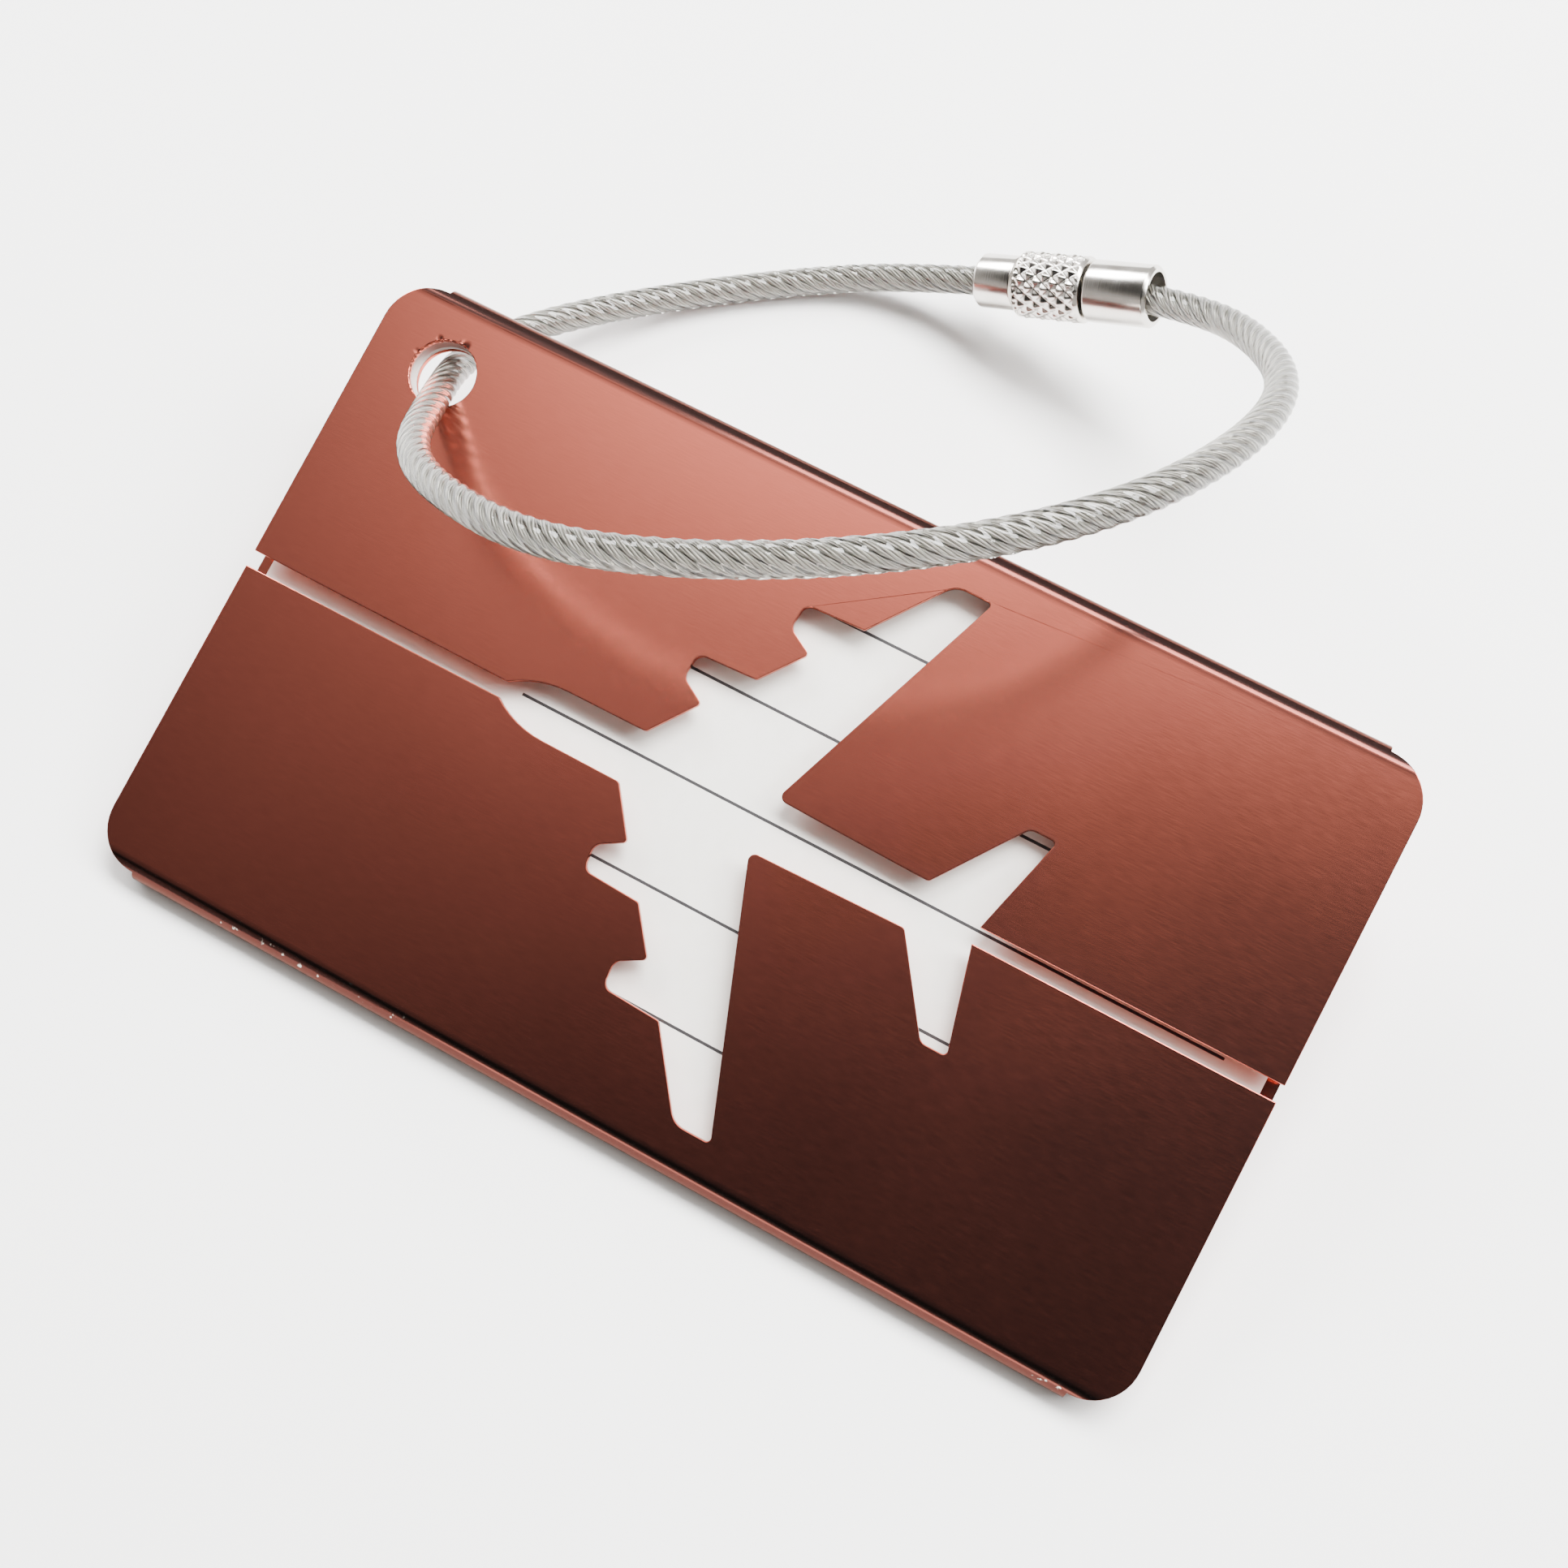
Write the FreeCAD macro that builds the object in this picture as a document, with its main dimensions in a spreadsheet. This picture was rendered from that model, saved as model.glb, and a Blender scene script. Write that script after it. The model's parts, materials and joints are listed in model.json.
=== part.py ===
import FreeCAD, Part
import os
import re
import Sketcher
from math import asin, atan2, cos, degrees, hypot, pi, radians, sin, tan

V = FreeCAD.Vector

# Luggage tag: a folded aluminium sleeve that holds a name card, and a coated wire-rope ring with a
# screw clasp. The tag's own axes are X along its length, Y across it towards the holed edge and Z out
# of its front, from its middle. The finished part leans on its ring: every piece takes the same turn
# about X at the end, and the part's origin is on the floor under the middle of the leaning sleeve.

DIMENSIONS = [
    # folded sleeve
    ("tagLength", 80.0),
    ("tagHeight", 48.0),
    ("sheetThickness", 0.5),
    ("pocketGap", 1.4),
    ("cornerRadius", 3.5),
    ("cornerStep", 0.5),          # how far the corner arcs stop short of the fold's outside
    ("slotWidth", 1.2),
    ("wingMargin", 3.45),         # the cut-out's wing tip to the tag's long edge
    ("holeFromEnd", 6.0),
    ("holeFromEdge", 6.0),
    ("holeClearance", 0.14),      # round the slanting cable
    # name card
    ("cardThickness", 0.4),
    ("cardEndMargin", 1.0),
    ("cardSideMargin", 1.5),
    ("cardCornerRadius", 3.0),
    ("cardLift", 0.05),
    # ring, with its plane turned and tilted in degrees
    ("ringTurn", 29.0),
    ("ringTilt", 52.0),
    ("ropeDiameter", 1.8),
    ("coatDiameter", 2.2),
    # clasp, along its axis from the stud ferrule's mouth to the swivel ferrule's mouth
    ("claspTurn", 29.0),
    ("ropeInset", 2.4),           # depth of each cable end inside its ferrule
    ("studFerruleLength", 3.4),
    ("studFerruleDiameter", 4.1),
    ("studMouthDiameter", 3.2),
    ("studMouthDepth", 1.0),
    ("seatGap", 0.05),            # stud ferrule to nut
    ("studDiameter", 3.0),
    ("studLength", 3.4),
    ("threadClearance", 0.08),
    ("nutLength", 5.6),
    ("nutDiameter", 5.0),
    ("nutLip", 0.8),
    ("nutChamberLength", 1.2),
    ("headDiameter", 3.7),
    ("spigotDiameter", 2.6),
    ("runningClearance", 0.1),
    ("collarGap", 0.15),          # nut to collar
    ("collarLength", 5.2),
    ("collarDiameter", 4.6),
    ("collarMouthDiameter", 3.6),
    ("collarMouthDepth", 1.6),
    ("edgeChamfer", 0.25),
]

# Half outline of the airliner cut-out, nose first: along the tag, out from its centre line, and the
# rounding of that corner. It is drawn with this half span and scaled to leave wingMargin.
DRAWN_HALF_SPAN = 20.55
NOSE_X = -19.8
AIRLINER = [
    (-17.2, 1.90, 7.5),
    (-8.6, 1.95, 0.4),
    (-6.05, 5.40, 0.3),
    (-8.05, 6.55, 0.8),
    (-7.85, 8.40, 0.7),
    (-3.45, 8.60, 0.3),
    (-1.0, 11.80, 0.3),
    (-3.0, 12.90, 0.8),
    (-2.85, 14.80, 0.7),
    (1.6, 15.00, 0.3),
    (5.75, DRAWN_HALF_SPAN, 1.6),
    (8.6, DRAWN_HALF_SPAN, 0.3),
    (1.65, 2.00, 0.5),
    (13.4, 1.75, 0.4),
    (17.85, 8.00, 0.8),
    (19.8, 8.00, 0.3),
]
TAIL_X = 17.7

# The cable's route from the swivel ferrule round to the stud ferrule: millimetres along the ring
# plane's level line and up its slope, from the hole's centre. The clasp adds the first and last
# point, and the run from (0, 5.6) to (0, -5.6) goes through the hole.
ROUTE = [
    (53.5, -7.2),
    (56.9, -0.5),
    (57.9, 10.0),
    (54.2, 19.8),
    (46.5, 29.0),
    (36.0, 34.1),
    (23.5, 34.7),
    (12.0, 30.6),
    (4.0, 21.3),
    (0.5, 13.8),
    (0.0, 5.6),
    (0.0, -5.6),
    (5.0, -13.0),
    (15.3, -17.9),
    (27.0, -20.0),
    (34.5, -18.7),
]
CLASP_CENTRE = (45.0, -13.6)
SPLIT_RUN = 7                     # the cable's two halves meet in the middle of this run
ARC_SHARE = 0.45                  # of the shorter run beside it, taken by each arc

doc = FreeCAD.newDocument("LuggageTag")
sheet = doc.addObject("Spreadsheet::Sheet", "Sizes")
size = dict(DIMENSIONS)
slope = radians(size["ringTilt"])
size["tagThickness"] = size["pocketGap"] + 2 * size["sheetThickness"]
size["holeDiameter"] = (size["coatDiameter"] / sin(slope) + size["tagThickness"] / tan(slope)
                        + 2 * size["holeClearance"])
size["claspLength"] = (size["studFerruleLength"] + size["seatGap"] + size["nutLength"]
                       + size["collarGap"] + size["collarLength"])
for row, (alias, value) in enumerate(size.items(), 1):
    sheet.set(f"A{row}", alias)
    sheet.set(f"B{row}", str(value))
    sheet.setAlias(f"B{row}", alias)
doc.recompute()


# Sketch helpers. A coordinate is an expression in the sheet's aliases, such as "tagLength / 2".

def evaluate(text):
    return float(sheet.evalExpression(text))


def bind(sketch, constraint, text):
    index = sketch.addConstraint(constraint)
    sketch.setExpression(f"Constraints[{index}]", re.sub(r"[a-z]\w+", r"Sizes.\g<0>", text))


def pin(sketch, geometry, end, x, y):
    for kind, axis, text in (("DistanceX", -2, x), ("DistanceY", -1, y)):
        if text == "0":
            sketch.addConstraint(Sketcher.Constraint("PointOnObject", geometry, end, axis))
        else:
            bind(sketch, Sketcher.Constraint(kind, -1, 1, geometry, end, evaluate(text)), text)


def addSketch(body, name, role):
    sketch = body.newObject("Sketcher::SketchObject", name)
    plane = next(part for part in body.Origin.OriginFeatures if part.Role == role)
    sketch.AttachmentSupport = [(plane, "")]
    sketch.MapMode = "FlatFace"
    return sketch


def addOutline(sketch, corners):
    points = [V(evaluate(x), evaluate(y), 0) for x, y in corners]
    first = sketch.GeometryCount
    for start, end in zip(points, points[1:] + points[:1]):
        sketch.addGeometry(Part.LineSegment(start, end), False)
    for number, (x, y) in enumerate(corners):
        before = first + (number - 1) % len(corners)
        sketch.addConstraint(Sketcher.Constraint("Coincident", before, 2, first + number, 1))
        pin(sketch, first + number, 1, x, y)


def addCircle(sketch, x, y, radius):
    circle = Part.Circle(V(evaluate(x), evaluate(y), 0), V(0, 0, 1), evaluate(radius))
    number = sketch.addGeometry(circle, False)
    pin(sketch, number, 3, x, y)
    bind(sketch, Sketcher.Constraint("Radius", number, evaluate(radius)), radius)


# A round-ended band along the sketch's X axis, with its end arcs' centres at +-reach.
def addBand(sketch, reach, radius):
    span, arc = evaluate(reach), evaluate(radius)
    lower = sketch.addGeometry(Part.LineSegment(V(-span, -arc, 0), V(span, -arc, 0)), False)
    right = sketch.addGeometry(
        Part.ArcOfCircle(Part.Circle(V(span, 0, 0), V(0, 0, 1), arc), -pi / 2, pi / 2), False)
    upper = sketch.addGeometry(Part.LineSegment(V(span, arc, 0), V(-span, arc, 0)), False)
    left = sketch.addGeometry(
        Part.ArcOfCircle(Part.Circle(V(-span, 0, 0), V(0, 0, 1), arc), pi / 2, 3 * pi / 2), False)
    for one, two in ((lower, right), (right, upper), (upper, left), (left, lower)):
        sketch.addConstraint(Sketcher.Constraint("Tangent", one, 2, two, 1))
    pin(sketch, right, 3, reach, "0")
    pin(sketch, left, 3, f"-({reach})", "0")
    bind(sketch, Sketcher.Constraint("Radius", right, arc), radius)
    sketch.addConstraint(Sketcher.Constraint("Equal", right, left))


def addPad(body, sketch, length, name="Pad"):
    pad = body.newObject("PartDesign::Pad", name)
    pad.Profile = sketch
    pad.SideType = "Symmetric"
    pad.setExpression("Length", length)
    return pad


def addPocket(body, sketch, sides="Symmetric", name="Pocket"):
    pocket = body.newObject("PartDesign::Pocket", name)
    pocket.Profile = sketch
    pocket.SideType = sides
    pocket.Type = "ThroughAll"
    doc.recompute()
    return pocket


# Straight edges through the points, with a tangent arc of each point's own radius at its corner.
def roundedEdges(points, radii, closed):
    edges = []
    count = len(points)
    corners = range(count) if closed else range(1, count - 1)
    cuts = []
    for number in corners:
        here = points[number]
        back = (points[number - 1] - here).normalize()
        ahead = (points[(number + 1) % count] - here).normalize()
        turn = pi - back.getAngle(ahead)
        reach = radii[number] * tan(turn / 2)
        inward = (back + ahead).normalize()
        middle = here + inward * (radii[number] * (1 / cos(turn / 2) - 1))
        cuts.append((here + back * reach, middle, here + ahead * reach))
    start = cuts[-1][2] if closed else points[0]
    for enter, middle, leave in cuts:
        if start.distanceToPoint(enter) > 1e-6:
            edges.append(Part.LineSegment(start, enter).toShape())
        edges.append(Part.Arc(enter, middle, leave).toShape())
        start = leave
    if not closed:
        edges.append(Part.LineSegment(start, points[-1]).toShape())
    return edges


# Sleeve: one sheet folded round both long edges, with open ends

folded = doc.addObject("PartDesign::Body", "FoldedSheet")
section = addSketch(folded, "FoldSection", "YZ_Plane")
foldReach = "tagHeight / 2 - tagThickness / 2"
addBand(section, foldReach, "tagThickness / 2")
addBand(section, foldReach, "pocketGap / 2")
addPad(folded, section, "Sizes.tagLength", "FoldedStrip")
doc.recompute()

# Each corner is rounded on a smaller outline than the folds, which end where the rounding starts
corner = addSketch(folded, "CornerCut", "XY_Plane")
arcX, arcY = "tagLength / 2 - cornerRadius", "tagHeight / 2 - cornerStep - cornerRadius"
outerX, outerY = "tagLength / 2 + cornerRadius", "tagHeight / 2 + cornerRadius"
arc = corner.addGeometry(Part.ArcOfCircle(
    Part.Circle(V(evaluate(arcX), evaluate(arcY), 0), V(0, 0, 1), size["cornerRadius"]), 0, pi / 2), False)
cutPoints = [("tagLength / 2", arcY), (outerX, arcY), (outerX, outerY), (arcX, outerY),
              (arcX, "tagHeight / 2 - cornerStep")]
drawnPoints = [V(evaluate(x), evaluate(y), 0) for x, y in cutPoints]
lines = [corner.addGeometry(Part.LineSegment(start, end), False)
         for start, end in zip(drawnPoints, drawnPoints[1:])]
corner.addConstraint(Sketcher.Constraint("Coincident", arc, 1, lines[0], 1))
corner.addConstraint(Sketcher.Constraint("Coincident", arc, 2, lines[-1], 2))
for line, following in zip(lines, lines[1:]):
    corner.addConstraint(Sketcher.Constraint("Coincident", line, 2, following, 1))
pin(corner, lines[0], 1, *cutPoints[0])
for line, point in zip(lines, cutPoints[1:]):
    pin(corner, line, 2, *point)
bind(corner, Sketcher.Constraint("DistanceX", -1, 1, arc, 3, evaluate(arcX)), arcX)
cut = addPocket(folded, corner, name="CornerPocket")
mirrors = folded.newObject("PartDesign::MultiTransform", "Corners")
mirrors.Originals = [cut]
steps = []
for role in ("YZ_Plane", "XZ_Plane"):
    mirror = folded.newObject("PartDesign::Mirrored", f"Mirror_{role}")
    mirror.MirrorPlane = (next(part for part in folded.Origin.OriginFeatures if part.Role == role), [""])
    steps.append(mirror)
mirrors.Transformations = steps
folded.Tip = mirrors
doc.recompute()

slot = addSketch(folded, "SlotOutline", "XY_Plane")
slotX, slotY = "tagLength / 2 + cornerRadius", "slotWidth / 2"
addOutline(slot, [(slotX, slotY), (f"-({slotX})", slotY), (f"-({slotX})", f"-{slotY}"),
                  (slotX, f"-{slotY}")])
slotCut = addPocket(folded, slot, sides="One side", name="Slot")
slotCut.Reversed = True

holeX, holeY = "-(tagLength / 2 - holeFromEnd)", "tagHeight / 2 - holeFromEdge"
ringHole = addSketch(folded, "RingHole", "XY_Plane")
addCircle(ringHole, holeX, holeY, "holeDiameter / 2")
addPocket(folded, ringHole, name="RingHoleCut")

# The airliner is cut through the front only, the same shape in both flaps
grow = (size["tagHeight"] / 2 - size["wingMargin"]) / DRAWN_HALF_SPAN
upper = [(x * grow, y * grow, r * grow) for x, y, r in AIRLINER]
ends = [(NOSE_X * grow, 0, 0), (TAIL_X * grow, 0, 0)]
outline = ends[:1] + upper + ends[1:] + [(x, -y, r) for x, y, r in reversed(upper)]
sharpRounding = 0.1
outlineCorners = [V(x, y, 0) for x, y, _ in outline]
outlineRadii = [max(r, sharpRounding) for _, _, r in outline]
silhouette = Part.Wire(roundedEdges(outlineCorners, outlineRadii, closed=True))
airliner = doc.addObject("Part::Feature", "Airliner")
airliner.Shape = Part.Face(silhouette).extrude(V(0, 0, size["tagThickness"]))

sleeve = doc.addObject("Part::Cut", "Sleeve")
sleeve.Base = folded
sleeve.Tool = airliner
doc.recompute()

# Name card, lying on the back sheet

card = doc.addObject("PartDesign::Body", "NameCard")
cardOutline = addSketch(card, "CardOutline", "XY_Plane")
cardX, cardY = "(tagLength / 2 - cardEndMargin)", "(tagHeight / 2 - cardSideMargin)"
addOutline(cardOutline, [(cardX, cardY), (f"-{cardX}", cardY), (f"-{cardX}", f"-{cardY}"),
                         (cardX, f"-{cardY}")])
cardPad = addPad(card, cardOutline, "Sizes.cardThickness")
doc.recompute()
rounding = card.newObject("PartDesign::Fillet", "CardCorners")
upright = [f"Edge{number}" for number, edge in enumerate(cardPad.Shape.Edges, 1)
           if abs(edge.tangentAt(edge.FirstParameter).z) > 0.99]
rounding.Base = (cardPad, upright)
rounding.setExpression("Radius", "Sizes.cardCornerRadius")
doc.recompute()
punch = addSketch(card, "CardPunch", "XY_Plane")
addCircle(punch, holeX, holeY, "holeDiameter / 2")
addPocket(card, punch, name="CardHole")


# Clasp pieces, turned about X

def turned(name, profile):
    body = doc.addObject("PartDesign::Body", name)
    sketch = addSketch(body, f"{name}Profile", "XY_Plane")
    addOutline(sketch, profile)
    turning = body.newObject("PartDesign::Revolution", f"{name}Turned")
    turning.Profile = sketch
    turning.ReferenceAxis = (sketch, ["H_Axis"])
    turning.Angle = 360
    doc.recompute()
    return body


studFerrule = turned("StudFerrule", [
    ("0", "studMouthDiameter / 2"),
    ("0", "studFerruleDiameter / 2 - edgeChamfer"),
    ("edgeChamfer", "studFerruleDiameter / 2"),
    ("studFerruleLength - edgeChamfer", "studFerruleDiameter / 2"),
    ("studFerruleLength", "studFerruleDiameter / 2 - edgeChamfer"),
    ("studFerruleLength", "studDiameter / 2"),
    ("studFerruleLength + studLength - edgeChamfer", "studDiameter / 2"),
    ("studFerruleLength + studLength", "studDiameter / 2 - edgeChamfer"),
    ("studFerruleLength + studLength", "0"),
    ("ropeInset", "0"),
    ("ropeInset", "coatDiameter / 2"),
    ("studMouthDepth", "coatDiameter / 2"),
    ("studMouthDepth", "studMouthDiameter / 2"),
])

threadRadius = "studDiameter / 2 + threadClearance"
chamberRadius = "headDiameter / 2 + runningClearance"
lipRadius = "spigotDiameter / 2 + runningClearance"
nut = turned("KnurledNut", [
    ("0", threadRadius),
    ("0", "nutDiameter / 2 - edgeChamfer"),
    ("edgeChamfer", "nutDiameter / 2"),
    ("nutLength - edgeChamfer", "nutDiameter / 2"),
    ("nutLength", "nutDiameter / 2 - edgeChamfer"),
    ("nutLength", lipRadius),
    ("nutLength - nutLip", lipRadius),
    ("nutLength - nutLip", chamberRadius),
    ("nutLength - nutLip - nutChamberLength", chamberRadius),
    ("nutLength - nutLip - nutChamberLength", threadRadius),
])

headBack = "-(collarGap + nutLip + runningClearance)"
headFront = "-(collarGap + nutLip + nutChamberLength - runningClearance)"
swivelFerrule = turned("SwivelFerrule", [
    (headFront, "0"),
    (headFront, "headDiameter / 2"),
    (headBack, "headDiameter / 2"),
    (headBack, "spigotDiameter / 2"),
    ("0", "spigotDiameter / 2"),
    ("0", "collarDiameter / 2 - edgeChamfer"),
    ("edgeChamfer", "collarDiameter / 2"),
    ("collarLength - edgeChamfer", "collarDiameter / 2"),
    ("collarLength", "collarDiameter / 2 - edgeChamfer"),
    ("collarLength", "collarMouthDiameter / 2"),
    ("collarLength - collarMouthDepth", "collarMouthDiameter / 2"),
    ("collarLength - collarMouthDepth", "coatDiameter / 2"),
    ("collarLength - ropeInset", "coatDiameter / 2"),
    ("collarLength - ropeInset", "0"),
])

# Ring plane: its level line and its slope, both through the hole's middle

turnAngle = radians(size["ringTurn"])
level = V(cos(turnAngle), sin(turnAngle), 0)
rise = V(sin(turnAngle) * cos(slope), -cos(turnAngle) * cos(slope), sin(slope))
holeCentre = V(evaluate(holeX), evaluate(holeY), 0)


def inRing(along, up):
    return holeCentre + level * along + rise * up


claspAngle = radians(size["claspTurn"])
claspAxis = level * cos(claspAngle) + rise * sin(claspAngle)
claspStart = inRing(*CLASP_CENTRE) - claspAxis * (size["claspLength"] / 2)
claspEnd = claspStart + claspAxis * size["claspLength"]
route = ([claspEnd - claspAxis * size["ropeInset"]] + [inRing(*point) for point in ROUTE]
         + [claspStart + claspAxis * size["ropeInset"]])

radii = [0.0] * len(route)
for number in range(1, len(route) - 1):
    before, after = route[number] - route[number - 1], route[number + 1] - route[number]
    shorter = min(before.Length, after.Length)
    radii[number] = ARC_SHARE * shorter / tan(before.getAngle(after) / 2)
print("cable arc radii, mm:", [round(radius, 1) for radius in radii[1:-1]])

# The two halves meet square on, halfway along a run
meeting = (route[SPLIT_RUN] + route[SPLIT_RUN + 1]) / 2
swivelHalf = route[:SPLIT_RUN + 1] + [meeting]
studHalf = [meeting] + route[SPLIT_RUN + 1:]
halves = {
    "swivel": Part.Wire(roundedEdges(swivelHalf, radii[:SPLIT_RUN + 1] + [0], closed=False)),
    "stud": Part.Wire(roundedEdges(studHalf, [0] + radii[SPLIT_RUN + 1:], closed=False)),
}
print("cable length, mm:", round(sum(path.Length for path in halves.values()), 2))


def sweptAlong(path, diameter):
    start = path.OrderedEdges[0]
    heading = start.tangentAt(start.FirstParameter)
    ring = Part.Wire(Part.Circle(start.valueAt(start.FirstParameter), heading, diameter / 2).toShape())
    tube = path.makePipeShell([ring], True, False)
    expected = pi * diameter ** 2 / 4 * path.Length
    if abs(tube.Volume / expected - 1) > 0.002:
        raise ValueError(f"tube volume {tube.Volume:.2f} is not {expected:.2f}")
    return tube


cables = {}
for side, path in halves.items():
    rope = sweptAlong(path, size["ropeDiameter"])
    cables[f"wire_rope_{side}_side"] = rope
    cables[f"clear_coat_{side}_side"] = sweptAlong(path, size["coatDiameter"]).cut(rope)

# The lean stands the tag on its lower fold and on the lowest stretch of the cable

foldRadius, coatRadius = size["tagThickness"] / 2, size["coatDiameter"] / 2
lowerFold = evaluate(foldReach)
lean = 0.0
for path in halves.values():
    for point in path.discretize(Distance=0.2):
        reach = hypot(point.y + lowerFold, point.z)
        touching = asin((coatRadius - foldRadius) / reach) - atan2(point.z, point.y + lowerFold)
        lean = max(lean, touching)
leaning = FreeCAD.Placement(V(0, 0, lowerFold * sin(lean) + foldRadius),
                            FreeCAD.Rotation(V(1, 0, 0), degrees(lean)))
print("lean, degrees:", round(degrees(lean), 3))

turnToClasp = FreeCAD.Rotation(V(1, 0, 0), claspAxis)
nutStart = size["studFerruleLength"] + size["seatGap"]
collarStart = nutStart + size["nutLength"] + size["collarGap"]
cardHeight = -foldRadius + size["sheetThickness"] + size["cardLift"] + size["cardThickness"] / 2


def place(thing, label, base=V(0, 0, 0), rotation=FreeCAD.Rotation()):
    thing.Label = label
    thing.Placement = leaning.multiply(FreeCAD.Placement(base, rotation))
    return thing


pieces = [
    place(sleeve, "sleeve"),
    place(card, "name_card", V(0, 0, cardHeight)),
    place(studFerrule, "stud_ferrule", claspStart, turnToClasp),
    place(nut, "knurled_nut", claspStart + claspAxis * nutStart, turnToClasp),
    place(swivelFerrule, "swivel_ferrule", claspStart + claspAxis * collarStart, turnToClasp),
]
for label, shape in cables.items():
    cable = doc.addObject("Part::Feature", label)
    cable.Shape = shape
    pieces.append(place(cable, label))
doc.recompute()

for thing in doc.Objects:
    if "Invalid" in thing.State or "Error" in thing.State:
        raise RuntimeError(f"{thing.Label} failed to recompute")
for piece in pieces:
    if piece.Shape.isNull() or not piece.Shape.isValid() or len(piece.Shape.Solids) != 1:
        raise RuntimeError(f"{piece.Label} is not one valid solid")

os.makedirs("parts", exist_ok=True)
for piece in pieces:
    piece.Shape.exportStep(f"parts/{piece.Label}.step")
    box = piece.Shape.BoundBox
    print(f"{piece.Label:24s} {piece.Shape.Volume:9.2f} mm3, z {box.ZMin:7.3f} to {box.ZMax:7.3f}")
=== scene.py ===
import json
import math

import bmesh
import bpy
from mathutils import Matrix, Vector


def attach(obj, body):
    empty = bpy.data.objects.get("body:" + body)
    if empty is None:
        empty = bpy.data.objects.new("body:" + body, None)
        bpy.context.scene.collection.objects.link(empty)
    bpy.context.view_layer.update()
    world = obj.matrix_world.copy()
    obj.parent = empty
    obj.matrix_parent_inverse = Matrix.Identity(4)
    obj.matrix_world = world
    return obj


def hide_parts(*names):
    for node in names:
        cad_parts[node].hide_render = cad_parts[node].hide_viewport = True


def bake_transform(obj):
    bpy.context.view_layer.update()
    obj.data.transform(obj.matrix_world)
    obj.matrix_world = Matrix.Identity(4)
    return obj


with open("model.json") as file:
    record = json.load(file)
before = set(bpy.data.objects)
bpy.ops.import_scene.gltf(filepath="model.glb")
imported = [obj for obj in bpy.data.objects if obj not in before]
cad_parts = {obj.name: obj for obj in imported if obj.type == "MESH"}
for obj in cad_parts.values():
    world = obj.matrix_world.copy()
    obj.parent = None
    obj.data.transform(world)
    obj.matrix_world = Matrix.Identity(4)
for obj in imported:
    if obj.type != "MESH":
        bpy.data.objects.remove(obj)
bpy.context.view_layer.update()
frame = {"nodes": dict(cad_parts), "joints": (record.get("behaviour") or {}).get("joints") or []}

mm = 0.001

# Luggage tag: a folded anodised sleeve with a name card in it, on a coated wire-rope ring that is closed
# by a screw clasp. Lengths in the dictionaries are millimetres. The tag's own axes are X along it,
# Y across it towards the holed edge and Z out of its front.

joints = {joint["name"]: joint for joint in frame["joints"]}
holeCentre = Vector(joints["ring_swing"]["pos_m"])
tagNormal = Vector(joints["ring_swing"]["axis"]).normalized()
tagLong = Vector((1, 0, 0))
tagAcross = tagNormal.cross(tagLong)
claspAxis = Vector(joints["nut_spin"]["axis"]).normalized()

tag = {"holeAlong": -34.0, "holeAcross": 18.0}


def placeFrom(xAxis, yAxis, zAxis, origin):
    return Matrix.Translation(origin) @ Matrix((xAxis, yAxis, zAxis)).transposed().to_4x4()


tagCentre = holeCentre - tagLong * tag["holeAlong"] * mm - tagAcross * tag["holeAcross"] * mm
tagPlace = placeFrom(tagLong, tagAcross, tagNormal, tagCentre)
holePlace = Vector((tag["holeAlong"], tag["holeAcross"], 0))


def linear(hexColour):
    parts = [int(hexColour[start:start + 2], 16) / 255 for start in (1, 3, 5)]
    return [part / 12.92 if part <= 0.04045 else ((part + 0.055) / 1.055) ** 2.4 for part in parts] + [1.0]


def addNode(tree, kind, inputs=None, **settings):
    node = tree.nodes.new(kind)
    for name, value in settings.items():
        setattr(node, name, value)
    for socket, value in (inputs or {}).items():
        if isinstance(value, bpy.types.NodeSocket):
            tree.links.new(value, node.inputs[socket])
        else:
            node.inputs[socket].default_value = value
    return node


def link(thing):
    bpy.context.scene.collection.objects.link(thing)
    return thing


# The camera's place and directions are in the tag's own axes
camera = {
    "lens": 43.25, "nearest": 5.0,
    "place": (20.9, -4.7, 127.7),
    "rightwards": (0.8784, 0.4663, -0.1049),
    "upwards": (-0.4537, 0.8825, 0.1235),
}


def makeCamera():
    data = bpy.data.cameras.new("camera")
    data.lens = camera["lens"]
    data.clip_start = camera["nearest"] * mm
    rightwards = (tagPlace.to_3x3() @ Vector(camera["rightwards"])).normalized()
    upwards = (tagPlace.to_3x3() @ Vector(camera["upwards"])).normalized()
    backwards = rightwards.cross(upwards).normalized()
    taker = link(bpy.data.objects.new("camera", data))
    taker.matrix_world = placeFrom(rightwards, backwards.cross(rightwards), backwards,
                                   tagPlace @ (Vector(camera["place"]) * mm))
    bpy.context.scene.camera = taker


# Every lamp's place is in the tag's own axes, and it points at the tag's middle
lamps = {
    "backPanel": {"place": (60, 480, 460), "width": 520, "height": 260, "watts": 20.0, "tint": "#FFFFFF"},
    "leftPanel": {"place": (-520, 420, 300), "width": 320, "height": 240, "watts": 8.0, "tint": "#FFFFFF"},
    "rightPanel": {"place": (500, 400, 380), "width": 320, "height": 260, "watts": 8.0, "tint": "#FFFFFF"},
    "frontPanel": {"place": (0, -640, 200), "width": 420, "height": 160, "watts": 3.0, "tint": "#FFF6EE"},
}

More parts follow.
